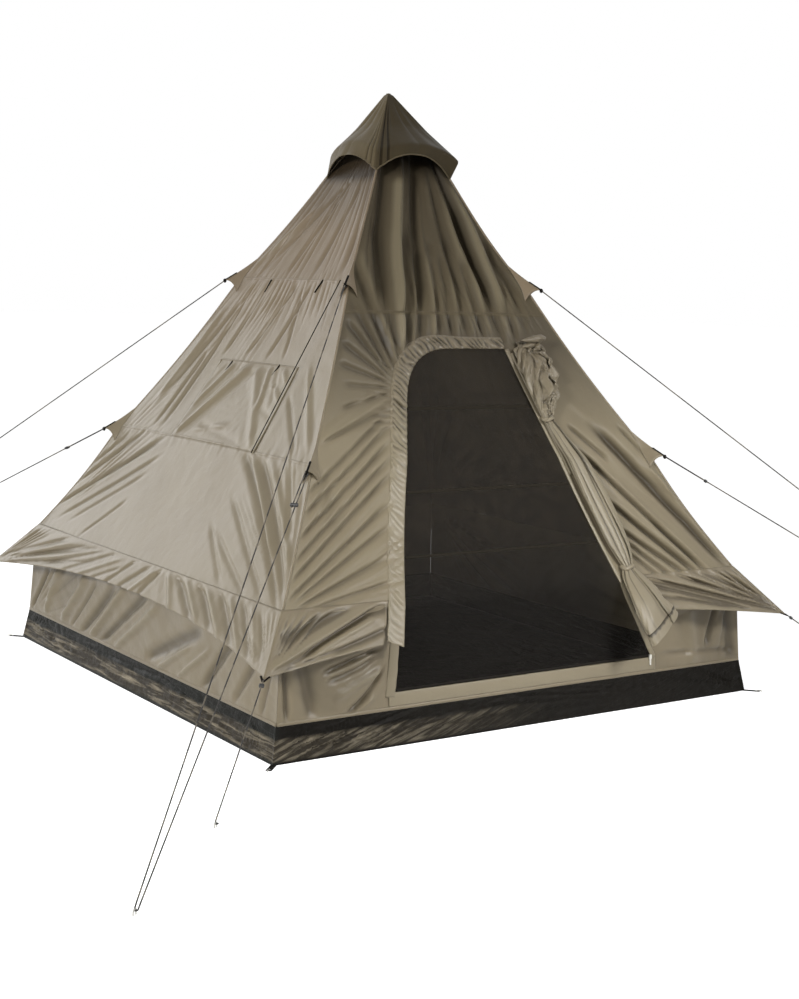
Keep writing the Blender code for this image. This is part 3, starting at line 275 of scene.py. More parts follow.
roofCreases = {
    "front": [
        # broad folds that hang from the crown
        (-0.05, 2.3, -0.27, 1.5, 0.022, 0.036, 0.032), (0.02, 2.16, -0.08, 1.52, 0.014, 0.02, 0.014),
        (0.18, 2.24, 0.34, 1.58, 0.02, 0.038, 0.022, 0.008), (0.24, 2.18, 0.42, 1.72, 0.018, 0.034, 0.014),
        (-0.12, 2.3, -0.32, 1.66, 0.022, 0.04, -0.022), (0.04, 2.32, -0.1, 1.62, 0.026, 0.04, -0.028),
        (0.13, 2.26, 0.26, 1.66, 0.016, 0.026, -0.022, 0.008), (0.26, 2.18, 0.4, 1.7, 0.014, 0.022, -0.014),
        (0.09, 2.2, 0.12, 1.66, 0.016, 0.026, -0.014), (0.14, 2.1, 0.19, 1.64, 0.018, 0.026, 0.01),
        # from the upper left beak down to the doorway's arch
        (-0.47, 1.66, -0.36, 1.385, 0.024, 0.01, -0.016), (-0.52, 1.58, -0.37, 1.37, 0.022, 0.008, -0.015),
        (-0.56, 1.49, -0.38, 1.355, 0.02, 0.007, -0.014), (-0.46, 2.05, -0.33, 1.4, 0.037, 0.014, -0.019),
        (-0.4, 2.08, -0.31, 1.4, 0.037, 0.015, 0.009), (-0.24, 1.97, -0.3, 1.44, 0.037, 0.014, -0.016),
        (-0.17, 1.94, -0.28, 1.45, 0.025, 0.014, 0.008), (-0.09, 1.96, -0.24, 1.47, 0.027, 0.014, -0.018),
        (-0.04, 1.92, -0.21, 1.48, 0.025, 0.013, 0.008), (-0.05, 1.88, -0.16, 1.5, 0.025, 0.013, -0.015),
        (-0.02, 1.85, -0.13, 1.51, 0.022, 0.012, 0.007), (0.02, 1.88, -0.09, 1.52, 0.024, 0.012, 0.008),
        (0.03, 1.92, -0.06, 1.52, 0.024, 0.012, -0.015), (0.07, 1.87, 0.01, 1.53, 0.024, 0.012, -0.015),
        (0.09, 1.89, 0.05, 1.53, 0.024, 0.012, 0.008), (0.11, 1.93, 0.09, 1.53, 0.024, 0.012, -0.014),
        (0.13, 1.89, 0.13, 1.53, 0.024, 0.012, 0.008), (0.17, 1.85, 0.17, 1.53, 0.024, 0.012, -0.015),
        (0.19, 1.9, 0.21, 1.52, 0.024, 0.012, 0.008), (0.19, 2.06, 0.27, 1.51, 0.031, 0.014, -0.019),
        (0.26, 1.9, 0.3, 1.52, 0.024, 0.012, 0.008), (0.32, 1.98, 0.34, 1.51, 0.031, 0.014, -0.018),
        (0.37, 1.83, 0.41, 1.55, 0.031, 0.014, -0.012),
        # short ones beside the arch's left shoulder
        (-0.6, 1.41, -0.38, 1.335, 0.017, 0.007, -0.013), (-0.6, 1.33, -0.385, 1.315, 0.014, 0.006, -0.01),
        (-0.64, 1.24, -0.39, 1.295, 0.015, 0.007, -0.012),
        # from the middle left beak up to the doorway's binding
        (-0.8, 1.13, -0.41, 1.28, 0.014, 0.02, 0.013), (-0.76, 1.16, -0.48, 1.29, 0.01, 0.013, 0.007),
        (-0.77, 1.12, -0.43, 1.23, 0.01, 0.012, -0.008),
        # from the eave's left corner up to the binding
        (-0.93, 0.92, -0.44, 1.21, 0.012, 0.014, -0.012), (-0.96, 0.85, -0.46, 1.16, 0.011, 0.014, -0.012),
        (-1.00, 0.77, -0.48, 1.1, 0.01, 0.014, -0.013), (-1.05, 0.69, -0.5, 1.04, 0.01, 0.013, -0.012),
        (-1.08, 0.63, -0.52, 0.98, 0.01, 0.013, -0.013), (-1.1, 0.58, -0.55, 0.88, 0.01, 0.013, -0.014),
        (-1.08, 0.57, -0.58, 0.8, 0.01, 0.013, -0.014), (-1.08, 0.55, -0.61, 0.7, 0.01, 0.013, -0.015),
        (-1.08, 0.535, -0.64, 0.61, 0.009, 0.012, -0.013),
        # right of the doorway, from the flap's ties down to the eave
        (0.5, 1.04, 1.00, 0.52, 0.013, 0.015, -0.028), (0.56, 0.85, 0.94, 0.52, 0.014, 0.017, -0.028),
        (0.57, 0.74, 0.88, 0.52, 0.012, 0.014, -0.024), (0.59, 0.68, 0.79, 0.52, 0.011, 0.013, -0.02),
        (0.58, 0.64, 0.71, 0.53, 0.01, 0.012, -0.017), (0.62, 1.14, 1.13, 0.54, 0.03, 0.032, -0.026),
        (0.48, 1.15, 0.63, 1.01, 0.012, 0.014, -0.014), (0.75, 1.14, 0.89, 0.97, 0.011, 0.012, -0.012),
        (0.58, 0.96, 0.8, 0.74, 0.026, 0.03, 0.008), (0.84, 0.98, 1.14, 0.6, 0.02, 0.02, 0.016),
        (0.52, 1.26, 0.66, 1.12, 0.022, 0.026, 0.003),
    ],
    "left": [
        # under the crown
        (0.22, 2.22, 0.36, 1.76, 0.014, 0.02, -0.009), (0.12, 2.24, 0.12, 1.76, 0.014, 0.018, -0.008),
        (0.03, 2.24, -0.1, 1.76, 0.013, 0.017, -0.008), (0.01, 2.18, -0.31, 1.76, 0.013, 0.018, -0.008),
        (-0.14, 2.06, -0.42, 1.76, 0.018, 0.026, 0.009),
        # beside and above the window
        (-0.2, 1.72, -0.3, 1.41, 0.011, 0.012, -0.008), (0.03, 1.72, -0.11, 1.41, 0.012, 0.013, -0.009),
        (0.15, 1.72, 0.07, 1.41, 0.011, 0.013, -0.008), (0.1, 1.68, 0.2, 1.42, 0.01, 0.012, -0.006),
        (-0.32, 1.7, -0.49, 1.08, 0.012, 0.014, -0.009), (-0.36, 1.64, -0.6, 1.24, 0.013, 0.016, -0.009),
        (-0.48, 1.58, -0.66, 1.18, 0.018, 0.022, 0.01), (-0.45, 1.4, -0.56, 1.08, 0.011, 0.013, -0.008),
        (0.42, 1.26, 0.68, 1.07, 0.012, 0.014, -0.008), (0.46, 1.38, 0.76, 1.1, 0.016, 0.018, 0.008),
        # from the second seam down to the eave's left corner
        (-0.4, 1.03, -1.24, 0.56, 0.014, 0.009, -0.012), (-0.62, 1.03, -1.18, 0.64, 0.013, 0.009, -0.01),
        (-0.76, 1.00, -1.12, 0.72, 0.012, 0.009, -0.008), (-0.38, 0.94, -0.98, 0.61, 0.012, 0.01, -0.008),
        (-0.42, 0.86, -0.86, 0.61, 0.011, 0.01, -0.006), (-0.46, 0.74, -0.69, 0.56, 0.011, 0.01, -0.006),
        # from the window's right corner down to the eave's right corner
        (0.31, 1.03, 1.1, 0.55, 0.02, 0.012, -0.014, 0.012),
        (0.38, 1.03, 0.9, 0.7, 0.014, 0.016, 0.012, 0.012),
        (0.46, 1.02, 1.11, 0.58, 0.02, 0.013, -0.013, 0.012),
        (0.56, 1.02, 1.08, 0.66, 0.016, 0.013, 0.009, 0.008), (0.34, 0.74, 0.64, 0.57, 0.012, 0.012, -0.007),
        (0.42, 0.72, 0.84, 0.56, 0.013, 0.012, -0.008), (0.4, 0.85, 0.98, 0.56, 0.013, 0.012, -0.008),
        (0.7, 1.02, 0.95, 0.76, 0.013, 0.012, -0.008), (0.88, 0.94, 1.12, 0.6, 0.012, 0.01, -0.007),
    ],
}
seamHeights = {"front": (frontSeam,), **dict.fromkeys(("left", "right", "back"), (1.738, 1.04))}

# Small gathers that the thread pulls in along a seam: their height, their spacing and how far they reach
pucker = {"height": 0.0024, "pitch": 0.03, "reach": 0.028, "flatAtSeam": 0.55, "flatAtEave": 0.6}


def hipIn(height):
    # how far the cloth hangs in at a hip
    sag = np.zeros_like(np.asarray(height, float))
    anchors = hang["hipAnchors"]
    for low, high in zip(anchors, anchors[1:]):
        share = np.clip((height - low) / (high - low), 0, 1)
        sag = sag + hang["hipSag"] * np.sin(math.pi * share)
    spread = smooth(*hang["spreadGrows"], height) * (1 - smooth(*hang["spreadEnds"], height))
    return sag - hang["crownSpread"] * spread


def hipHalf(height):
    # from a face's middle to its hip, along the hanging cloth's edge
    return roofHalf(height) - hipIn(height)


def roofFold(side, across, height):
    folds = fanOut(across, height, roofFolds[side]) + creaseOut(across, height, roofCreases.get(side, ()))
    seed = 11 * sides.index(side) + 100
    (fine, fineSize), (wide, wideSize) = hang["crumple"], hang["swell"]
    folds = folds + fine * crumple(across, height, fineSize, seed)
    folds = folds + wide * noise(across / wideSize, height / wideSize, seed + 3)
    stitches = [(seam, pucker["flatAtSeam"], 0.5, seed + 5) for seam in seamHeights[side]]
    stitches += [(eaveHeight, pucker["flatAtEave"], 2.5, seed + 6)]
    for level, flat, row, draw in stitches:
        near = np.exp(-np.abs(height - level) / pucker["reach"])
        gathers = near * pucker["height"] * noise(across / pucker["pitch"], row, draw)
        folds = folds * (1 - flat * near) + gathers
    return folds * smooth(0, hang["edge"], np.abs(hipHalf(height) - np.abs(across)))


def roofOut(side, across, height, detail=1.0):
    # how far the cloth stands out from the roof's flat plane
    share = np.clip(across / np.maximum(hipHalf(height), 0.02), -1, 1)
    up = np.clip((height - eaveHeight) / (crownHeight - eaveHeight), 0, 1)
    out = -hipIn(height) - hang["faceSag"] * (1 - share**2) * np.sin(math.pi * up) ** 0.8
    return out + detail * roofFold(side, across, height) if detail else out


def shade(folds, start=0.002, full=0.022):
    # how deep a place lies in a valley, 0 to 1, or below 0 how high it stands on a ridge; the materials paint
    # shade in the valleys and a highlight on the ridges from it
    valley = np.clip((-folds - start) / (full - start), 0, 1)
    return valley - np.clip((folds - start) / (full - start), 0, 1)


wallFolds = {
    "front": [((1.15, 0.5), 0.25, (0.05, 0.12, 0.3, 0.5), (180, 265), 0.008, 83, 0.8, 0.9)],
    "left": [((-1.15, 0.1), 0.12, (0.1, 0.25, 0.5, 0.8), (8, 75), 0.008, 85, 0.8, 0.9)],
    "right": [
        ((-1.15, 0.12), 0.14, (0.1, 0.25, 0.8, 1.2), (4, 60), 0.015, 88, 0.8, 0.9),
        ((1.15, 0.5), 0.13, (0.05, 0.2, 0.6, 0.95), (182, 262), 0.015, 89, 0.8, 0.9),
    ],
    "back": [
        ((-1.15, 0.5), 0.14, (0.1, 0.25, 0.8, 1.2), (-80, -2), 0.015, 90, 0.8, 0.9),
        ((1.15, 0.12), 0.13, (0.05, 0.2, 0.6, 0.95), (110, 176), 0.015, 91, 0.8, 0.9),
    ],
}
wallCreases = {
    "front": [
        (-1.14, 0.4, -1.13, 0.15, 0.012, 0.014, -0.016), (-1.07, 0.4, -1.02, 0.15, 0.03, 0.024, -0.014),
        (-0.97, 0.305, -0.73, 0.375, 0.016, 0.01, -0.018),
        (-0.95, 0.275, -0.74, 0.345, 0.016, 0.01, -0.016, -0.01),
        (-0.92, 0.21, -0.71, 0.3, 0.022, 0.014, 0.012),
        (-0.9, 0.12, -0.71, 0.3, 0.018, 0.008, -0.022, -0.02),
        (-0.84, 0.15, -0.7, 0.22, 0.01, 0.008, 0.008), (1.04, 0.4, 0.98, 0.22, 0.014, 0.016, -0.018),
        (1.1, 0.4, 1.13, 0.16, 0.03, 0.03, -0.014), (0.72, 0.21, 1.14, 0.19, 0.012, 0.012, -0.009),
        (0.86, 0.42, 0.9, 0.16, 0.036, 0.03, 0.01),
    ],
    "left": [
        (-0.98, 0.36, -1.14, 0.16, 0.016, 0.012, -0.016), (-0.86, 0.38, -0.98, 0.16, 0.034, 0.02, 0.012),
        (-0.58, 0.38, -0.79, 0.16, 0.03, 0.022, 0.014), (-0.46, 0.38, -0.68, 0.15, 0.014, 0.012, -0.01),
        (-0.27, 0.4, -0.57, 0.14, 0.026, 0.018, -0.016), (-0.18, 0.4, -0.48, 0.14, 0.02, 0.014, 0.014),
        (0.04, 0.42, -0.38, 0.13, 0.024, 0.014, -0.016), (0.14, 0.38, -0.22, 0.14, 0.024, 0.016, 0.014),
        (0.54, 0.36, 0.1, 0.17, 0.04, 0.03, -0.02), (0.46, 0.28, 0.2, 0.14, 0.012, 0.012, 0.012),
        (0.62, 0.3, 0.38, 0.14, 0.012, 0.012, 0.01), (0.8, 0.38, 0.6, 0.16, 0.026, 0.02, -0.016),
        (1.00, 0.36, 0.86, 0.16, 0.024, 0.018, -0.014), (1.1, 0.34, 1.06, 0.16, 0.016, 0.014, -0.01),
    ],
}
wall = {
    "sag": 0.01,
    "crumple": (0.0045, 0.1),  # height and size
    "swell": (0.008, 0.3), "rimGathers": (0.0022, 0.028),
    "tautFrom": (-0.8, -0.71),  # the sill's ends and top: the cloth is taut there, where the zip runs
    "tautTo": (0.64, 0.74), "tautTop": (0.2, 0.26),
    "pitch": {"front": 0.0075, "left": 0.0075, "right": 0.014, "back": 0.014},
}


def wallOut(side, across, height, foldsOnly=False):
    half = wallHalf(height)
    share = np.clip(across / half, -1, 1)
    up = np.clip((height - rimHeight) / (eaveHeight - rimHeight), 0, 1)
    seed = 13 * sides.index(side) + 200
    folds = fanOut(across, height, wallFolds[side]) + creaseOut(across, height, wallCreases.get(side, ()))
    (fine, fineSize), (wide, wideSize) = wall["crumple"], wall["swell"]
    gathered, gatherSize = wall["rimGathers"]
    folds = folds + fine * crumple((across + height) * 0.7, height * 0.7, fineSize, seed)
    folds = folds + wide * noise(across / wideSize, height / wideSize, seed + 1)
    folds = folds + gathered * noise(across / gatherSize, 0.5, seed + 2) * np.exp(-up / 0.08)
    held = smooth(0, 0.03, half - np.abs(across)) * smooth(0, 0.07, up) * (1 - 0.6 * smooth(0.9, 1.0, up))
    if side == "front":
        taut = smooth(*wall["tautFrom"], across) * (1 - smooth(*wall["tautTo"], across))
        held = held * (1 - taut * (1 - smooth(*wall["tautTop"], height)))
    if foldsOnly:
        return folds * held
    return -wall["sag"] * (1 - share**2) * np.sin(math.pi * up) + folds * held


def doorEdge(height, foot, eave, head, headHeight):
    # a side edge of the doorway: straight up the wall, then straight up the roof
    roofShare = (height - eaveHeight) / (headHeight - eaveHeight)
    wallShare = (height - doorway["sill"]) / (eaveHeight - doorway["sill"])
    onRoof, onWall = eave + (head - eave) * roofShare, foot + (eave - foot) * wallShare
    return np.where(height >= eaveHeight, onRoof, onWall)


def doorLeft(height):
    head, headHeight = doorway["springLeft"], doorway["springHeight"]
    return doorEdge(height, doorway["footLeft"], doorway["eaveLeft"], head, headHeight)


def doorRight(height):
    head, headHeight = doorway["headRight"], doorway["top"]
    return doorEdge(height, doorway["footRight"], doorway["eaveRight"], head, headHeight)


def archPoints(steps=16):
    # rounded upper left corner of the doorway, one cubic curve
    spring = np.array((doorway["springLeft"], doorway["springHeight"]))
    crown = np.array((doorway["crownLeft"], doorway["top"]))
    rise = doorway["top"] - doorway["springHeight"]
    run = doorway["crownLeft"] - doorway["springLeft"]
    first = spring + np.array((doorLean, 1.0)) * rise * doorway["archUp"]
    second = crown - np.array((run * doorway["archAlong"], 0))
    points = []
    for step in range(steps + 1):
        t = step / steps
        start = spring * (1 - t) ** 3 + first * 3 * t * (1 - t) ** 2
        points.append(start + second * 3 * t * t * (1 - t) + crown * t**3)
    return points


def doorOutline(inset=0.0):
    # counter-clockwise from the lower left, drawn in by a distance on every edge
    left = [(doorway["footLeft"], doorway["sill"]), (doorway["eaveLeft"], eaveHeight)]
    head = [tuple(point) for point in archPoints()] + [(doorway["headRight"], doorway["top"])]
    right = [(doorway["eaveRight"], eaveHeight), (doorway["footRight"], doorway["sill"])]
    outline = np.array(left + head + right)
    if inset == 0:
        return outline
    before = np.roll(outline, 1, axis=0)
    after = np.roll(outline, -1, axis=0)
    along = after - before
    along /= np.linalg.norm(along, axis=1, keepdims=True)
    return outline + inset * np.stack((along[:, 1], -along[:, 0]), axis=1)


def insideOutline(x, y, outline):
    inside = np.zeros(x.shape, bool)
    for (ax, ay), (bx, by) in zip(outline, np.roll(outline, -1, axis=0)):
        crosses = (ay > y) != (by > y)
        with np.errstate(divide="ignore", invalid="ignore"):
            edge = ax + (y - ay) * (bx - ax) / (by - ay)
        inside ^= crosses & (x < edge)
    return inside


def nearestOnOutline(x, y, outline):
    best = np.full(x.shape, np.inf)
    nearX, nearY = x.copy(), y.copy()
    for (ax, ay), (bx, by) in zip(outline, np.roll(outline, -1, axis=0)):
        dx, dy = bx - ax, by - ay
        share = np.clip(((x - ax) * dx + (y - ay) * dy) / (dx * dx + dy * dy), 0, 1)
        px, py = ax + share * dx, ay + share * dy
        gap = (px - x) ** 2 + (py - y) ** 2
        closer = gap < best
        best = np.where(closer, gap, best)
        nearX, nearY = np.where(closer, px, nearX), np.where(closer, py, nearY)
    return nearX, nearY


def trimGrid(across, height, outline, keepInside):
    # leaves out the cells beyond an outline and moves the border's points onto it
    inside = insideOutline(across, height, outline)
    wanted = inside if keepInside else ~inside
    cells = wanted[:-1, :-1] | wanted[1:, :-1] | wanted[:-1, 1:] | wanted[1:, 1:]
    used = np.zeros(across.shape, bool)
    for rows in (slice(None, -1), slice(1, None)):
        for columns in (slice(None, -1), slice(1, None)):
            used[rows, columns] |= cells
    moved = used & ~wanted
    across, height = across.copy(), height.copy()
    across[moved], height[moved] = nearestOnOutline(across[moved], height[moved], outline)
    return across, height, cells


def newPiece(
    name, points, faces, material, body="tent", slot="olive_polyester", replaces=(), rounded=True, hollow=None
):
    mesh = bpy.data.meshes.new(name)
    mesh.from_pydata([tuple(point) for point in points], [], faces)
    mesh.materials.append(material)
    mesh.validate()
    if hollow is not None:
        mesh.attributes.new("hollow", "FLOAT", "POINT").data.foreach_set("value", hollow)
    mesh.polygons.foreach_set("use_smooth", [rounded] * len(mesh.polygons))
    mesh.update()
    piece = bpy.data.objects.new(name, mesh)
    scene.collection.objects.link(piece)
    if body:
        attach(piece, body)
    if replaces:
        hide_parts(*replaces)
    return piece


def gridPiece(name, points, material, thick=0.0008, cells=None, closed=False, hollow=None, **settings):
    # cloth from rows of points; the faces look out where rows go up and columns go right
    rows, columns = points.shape[:2]
    number = np.arange(rows * columns).reshape(rows, columns)
    if closed:
        number = np.concatenate((number, number[:, :1]), axis=1)
    quads = np.stack((number[:-1, :-1], number[:-1, 1:], number[1:, 1:], number[1:, :-1]), axis=-1)
    quads = quads.reshape(-1, 4) if cells is None else quads[cells]
    used, faces = np.unique(quads, return_inverse=True)
    flat = points.reshape(-1, 3)[used]
    deep = None if hollow is None else np.ascontiguousarray(hollow).reshape(-1)[used]
    piece = newPiece(name, flat.tolist(), faces.reshape(-1, 4).tolist(), material, hollow=deep, **settings)
    if thick:
        solid = piece.modifiers.new("cloth thickness", "SOLIDIFY")
        solid.thickness = thick
        solid.offset = -1
    return piece


# Materials. Colours are sRGB, written as hex; patterns are sized from millimetres


def linear(code):
    parts = [int(code[index : index + 2], 16) / 255 for index in (1, 3, 5)]
    parts = [part / 12.92 if part <= 0.04045 else ((part + 0.055) / 1.055) ** 2.4 for part in parts]
    return (*parts, 1.0)


def addNode(tree, kind, settings=None, links=None):
    node = tree.nodes.new(kind)
    for key, value in (settings or {}).items():
        if isinstance(key, int) or key in node.inputs:
            node.inputs[key].default_value = value
        else:
            setattr(node, key, value)
    for key, source in (links or {}).items():
        tree.links.new(source, node.inputs[key])
    return node


def newMaterial(name, settings):
    material = bpy.data.materials.new(name)
    material.use_nodes = True
    tree = material.node_tree
    shader = tree.nodes["Principled BSDF"]
    for key, value in settings.items():
        shader.inputs[key].default_value = value
    return material, tree, shader


def bumpChain(tree, shader, layers):
    # layers are (height output, strength, depth in metres), from the coarsest to the finest
    links = {}
    for source, strength, depth in layers:
        settings = {"Strength": strength, "Distance": depth}
        bump = addNode(tree, "ShaderNodeBump", settings, {"Height": source, **links})
        links = {"Normal": bump.outputs["Normal"]}
    tree.links.new(links["Normal"], shader.inputs["Normal"])


def paintCoats(tree, first, coats):
    # lays colours over a first one; each coat is how much of it shows and its colour
    colour = None
    for share, code in coats:
        settings, links = {"data_type": "RGBA", 7: linear(code)}, {0: share}
        if colour is None:
            settings[6] = linear(first)
        else:
            links[6] = colour
        colour = addNode(tree, "ShaderNodeMix", settings, links).outputs[2]
    return colour


def areaShares(tree, where, areas):
    # for each named area, a share that goes from 0 to 1 between two places on one of the axes
    parts = addNode(tree, "ShaderNodeSeparateXYZ", {}, {0: where})
    shares = {}
    for name, (axis, start, full) in areas.items():
        settings = {"From Min": start, "From Max": full}
        ramp = addNode(tree, "ShaderNodeMapRange", settings, {"Value": parts.outputs["XYZ".index(axis)]})
        shares[name] = ramp.outputs[0]
    return shares


def weaveHeight(tree, where, pitchMillimetres):
    # crossing threads; x + y runs along every side of the tent, z runs up it
    parts = addNode(tree, "ShaderNodeSeparateXYZ", {}, {0: where})
    steps = {0: parts.outputs[0], 1: parts.outputs[1]}
    around = addNode(tree, "ShaderNodeMath", {"operation": "ADD"}, steps)
    turns = 2 * math.pi / (pitchMillimetres / 1000)
    waves = {}
    for key, source in enumerate((around.outputs[0], parts.outputs[2])):
        scaled = addNode(tree, "ShaderNodeMath", {"operation": "MULTIPLY", 1: turns}, {0: source})
        wave = addNode(tree, "ShaderNodeMath", {"operation": "SINE"}, {0: scaled.outputs[0]})
        waves[key] = wave.outputs[0]
    return addNode(tree, "ShaderNodeMath", {"operation": "MULTIPLY"}, waves).outputs[0]


# Coated plain-weave polyester: olive, with a soft sheen on its creases and blotches where the coating varies;
# its valleys are painted darker, painted shade, and its ridges lighter, painted highlight
polyester = {
    "main": "#776c58", "pale": "#81765f",
    "high": "#776853",  # above the upper seam a little warmer and darker: partly the cloth's own tone, partly painted shade
    "rise": (1.3, 1.8), "roughness": 0.4, "shine": 0.34, "sheen": 0.08, "sheenRoughness": 0.4,
    "valley": 0.55,  # how much darker the valleys are: painted shade
    # painted shade colour of the valleys, and painted highlight colour of the ridges with how much of it
    # shows
    "valleyColour": "#6f695d", "ridge": "#847a64", "ridgeShow": 0.75, "blotchMillimetres": 260,
    "creaseMillimetres": 30,
    "threadMillimetres": 2.2,  # real threads are 0.2 mm apart; drawn coarser so that they show
}
# front lower panel: a copy of the cloth painted lighter, painted light, and darker towards its top, painted
# shade
frontPolyester = {
    **polyester,
    "main": "#7e735f", "pale": "#887e67", "high": "#4f4738", "rise": (1.1, 1.5), "shine": 0.15,
    "valley": 0.9,
}
# front upper panel: a darker copy of the cloth, painted shade, darkest towards the crown
upperPolyester = {
    **polyester,
    "ridge": "#776e59", "main": "#534b3b", "pale": "#5a5140", "high": "#484032", "rise": (1.6, 2.2),
    "roughness": 0.5, "shine": 0.07, "valley": 0.6,
}
capPolyester = {
    **polyester,
    "main": "#625844", "pale": "#685f4b", "high": "#605642", "shine": 0.06, "valley": 0.9,
}
# doorway binding and flap: the front's cloth, darker towards the top, painted shade
bandPolyester = {
    **polyester,
    "main": "#7f7560", "pale": "#8b816b", "high": "#665c4a", "rise": (1.1, 1.55), "valley": 0.95,
}


def polyesterMaterial(name, look):
    settings = {
        "Roughness": look["roughness"],
        "Specular IOR Level": look["shine"],
        "Sheen Weight": look["sheen"],
        "Sheen Roughness": look["sheenRoughness"],
    }
    material, tree, shader = newMaterial(name, settings)
    where = addNode(tree, "ShaderNodeTexCoord").outputs["Object"]
    settings = {"Scale": 1000 / look["blotchMillimetres"], "Detail": 3.0}
    blotch = addNode(tree, "ShaderNodeTexNoise", settings, {"Vector": where})
    # towards the top the colour turns to the high colour: painted shade, in the main cloth partly its own
    # tone
    rising = areaShares(tree, where, {"high": ("Z", *look["rise"])})["high"]
    # the mesh says how deep each point lies in a valley, below 0 how high it stands on a ridge: painted shade
    # and painted highlight
    hollow = addNode(tree, "ShaderNodeAttribute", {"attribute_name": "hollow"}).outputs["Fac"]
    shares = []
    for amount in (-look["ridgeShow"], look["valley"]):
        settings = {"operation": "MULTIPLY", "use_clamp": True, 1: amount}
        shares.append(addNode(tree, "ShaderNodeMath", settings, {0: hollow}).outputs[0])
    coats = [(blotch.outputs[0], look["pale"]), (rising, look["high"]), (shares[0], look["ridge"])]
    colour = paintCoats(tree, look["main"], coats)
    settings = {"data_type": "RGBA", "blend_type": "MULTIPLY", 7: linear(look["valleyColour"])}
    deep = addNode(tree, "ShaderNodeMix", settings, {0: shares[1], 6: colour})
    tree.links.new(deep.outputs[2], shader.inputs["Base Color"])
    settings = {"Scale": 1000 / look["creaseMillimetres"], "Detail": 5, "Roughness": 0.55, "Distortion": 0.6}
    crease = addNode(tree, "ShaderNodeTexNoise", settings, {"Vector": where})
    weave = weaveHeight(tree, where, look["threadMillimetres"])
    bumpChain(tree, shader, [(crease.outputs[0], 0.3, 0.003), (weave, 0.1, 0.0004)])
    return material


# Insect net: black, and the eye looks through it; its holes are too small to draw, so it is half clear
netLook = {
    "colour": "#231f1a", "mottled": "#352f27", "low": "#1b1814",
    "lowArea": ("Z", 0.8, 0.5),  # painted shade of the dim inside seen through it: it grows darker from the first height down to the second
    "solid": 0.5, "holeMillimetres": 4, "mottleMillimetres": 41.667,
}


def netMaterial(name, look):
    settings = {"Roughness": 0.8, "Alpha": look["solid"], "Specular IOR Level": 0.25}
    material, tree, shader = newMaterial(name, settings)
    where = addNode(tree, "ShaderNodeTexCoord").outputs["Object"]
    # a lighter mottling at random
    settings = {"Scale": 1000 / look["mottleMillimetres"], "Detail": 6.0, "Roughness": 0.65}
    mottle = addNode(tree, "ShaderNodeTexNoise", settings, {"Vector": where})
    settings = {"From Min": 0.4, "From Max": 0.66}
    mottled = addNode(tree, "ShaderNodeMapRange", settings, {"Value": mottle.outputs[0]})
    low = areaShares(tree, where, {"low": look["lowArea"]})["low"]
    tint = paintCoats(tree, look["colour"], [(mottled.outputs[0], look["mottled"]), (low, look["low"])])
    tree.links.new(tint, shader.inputs["Base Color"])
    bumpChain(tree, shader, [(weaveHeight(tree, where, look["holeMillimetres"]), 0.25, 0.0006)])
    return material


# Coated polyethylene groundsheet: near black and shiny; the turned-up sides are creased in long streaks. A
# lighter slate on the left side and a lighter lower left band with pale streaks are painted reflection
tubLook = {
    # slate, low and streak are painted reflection on the tub's left part; worn is a random tone
    "colour": "#0f0d0a", "worn": "#1b1813", "slate": "#20221f", "low": "#37322a", "streak": "#9a907c",
    "wornMillimetres": 200, "creaseMillimetres": 60, "streakMillimetres": 210,
    "streakSlant": 0.3,  # radians
    "streakStretch": 14.0,  # how many times longer than high the streaks are
    "areas": {
        # where the painted reflection lies: the left side, and the lower band of the left part
        "leftSide": ("X", -1.16, -1.2),
        "nearLeft": ("X", 0.1, -1.1),
        "offFloor": ("Z", 0.006, 0.016),
        "below": ("Z", 0.092, 0.078),
    },
}


def tubMaterial(name, look):
    material, tree, shader = newMaterial(name, {"Roughness": 0.38, "Specular IOR Level": 0.055})
    where = addNode(tree, "ShaderNodeTexCoord").outputs["Object"]
    settings = {"Scale": 1000 / look["wornMillimetres"], "Detail": 6.0}
    worn = addNode(tree, "ShaderNodeTexNoise", settings, {"Vector": where})
    areas = areaShares(tree, where, look["areas"])
    settings = {"rotation_type": "Y_AXIS", "Angle": look["streakSlant"]}
    slanted = addNode(tree, "ShaderNodeVectorRotate", settings, {"Vector": where})
    settings = {"operation": "MULTIPLY", 1: (1.0, 1.0, look["streakStretch"])}
    flattened = addNode(tree, "ShaderNodeVectorMath", settings, {0: slanted.outputs[0]})
    settings = {"Scale": 1000 / look["streakMillimetres"], "Detail": 5, "Roughness": 0.62, "Distortion": 0.4}
    streak = addNode(tree, "ShaderNodeTexNoise", settings, {"Vector": flattened.outputs[0]})
    # pale streaks of painted reflection, only on the lower band of the left part; the same noise also creases
    # the sheet
    settings = {"From Min": 0.48, "From Max": 0.74}
    bright = addNode(tree, "ShaderNodeMapRange", settings, {"Value": streak.outputs[0]}).outputs[0]
    lower = areas["below"]
    for share in (areas["nearLeft"], areas["offFloor"]):
        lower = addNode(tree, "ShaderNodeMath", {"operation": "MULTIPLY"}, {0: lower, 1: share}).outputs[0]
    streaked = addNode(tree, "ShaderNodeMath", {"operation": "MULTIPLY"}, {0: lower, 1: bright}).outputs[0]
    coats = [(worn.outputs[0], "worn"), (areas["leftSide"], "slate"), (lower, "low"), (streaked, "streak")]
    colour = paintCoats(tree, look["colour"], [(share, look[key]) for share, key in coats])
    tree.links.new(colour, shader.inputs["Base Color"])
    settings = {"Scale": 1000 / look["creaseMillimetres"], "Detail": 4.0, "Distortion": 1.0}
    crease = addNode(tree, "ShaderNodeTexNoise", settings, {"Vector": where})
    bumpChain(tree, shader, [(crease.outputs[0], 0.4, 0.01), (streak.outputs[0], 0.6, 0.012)])
    return material


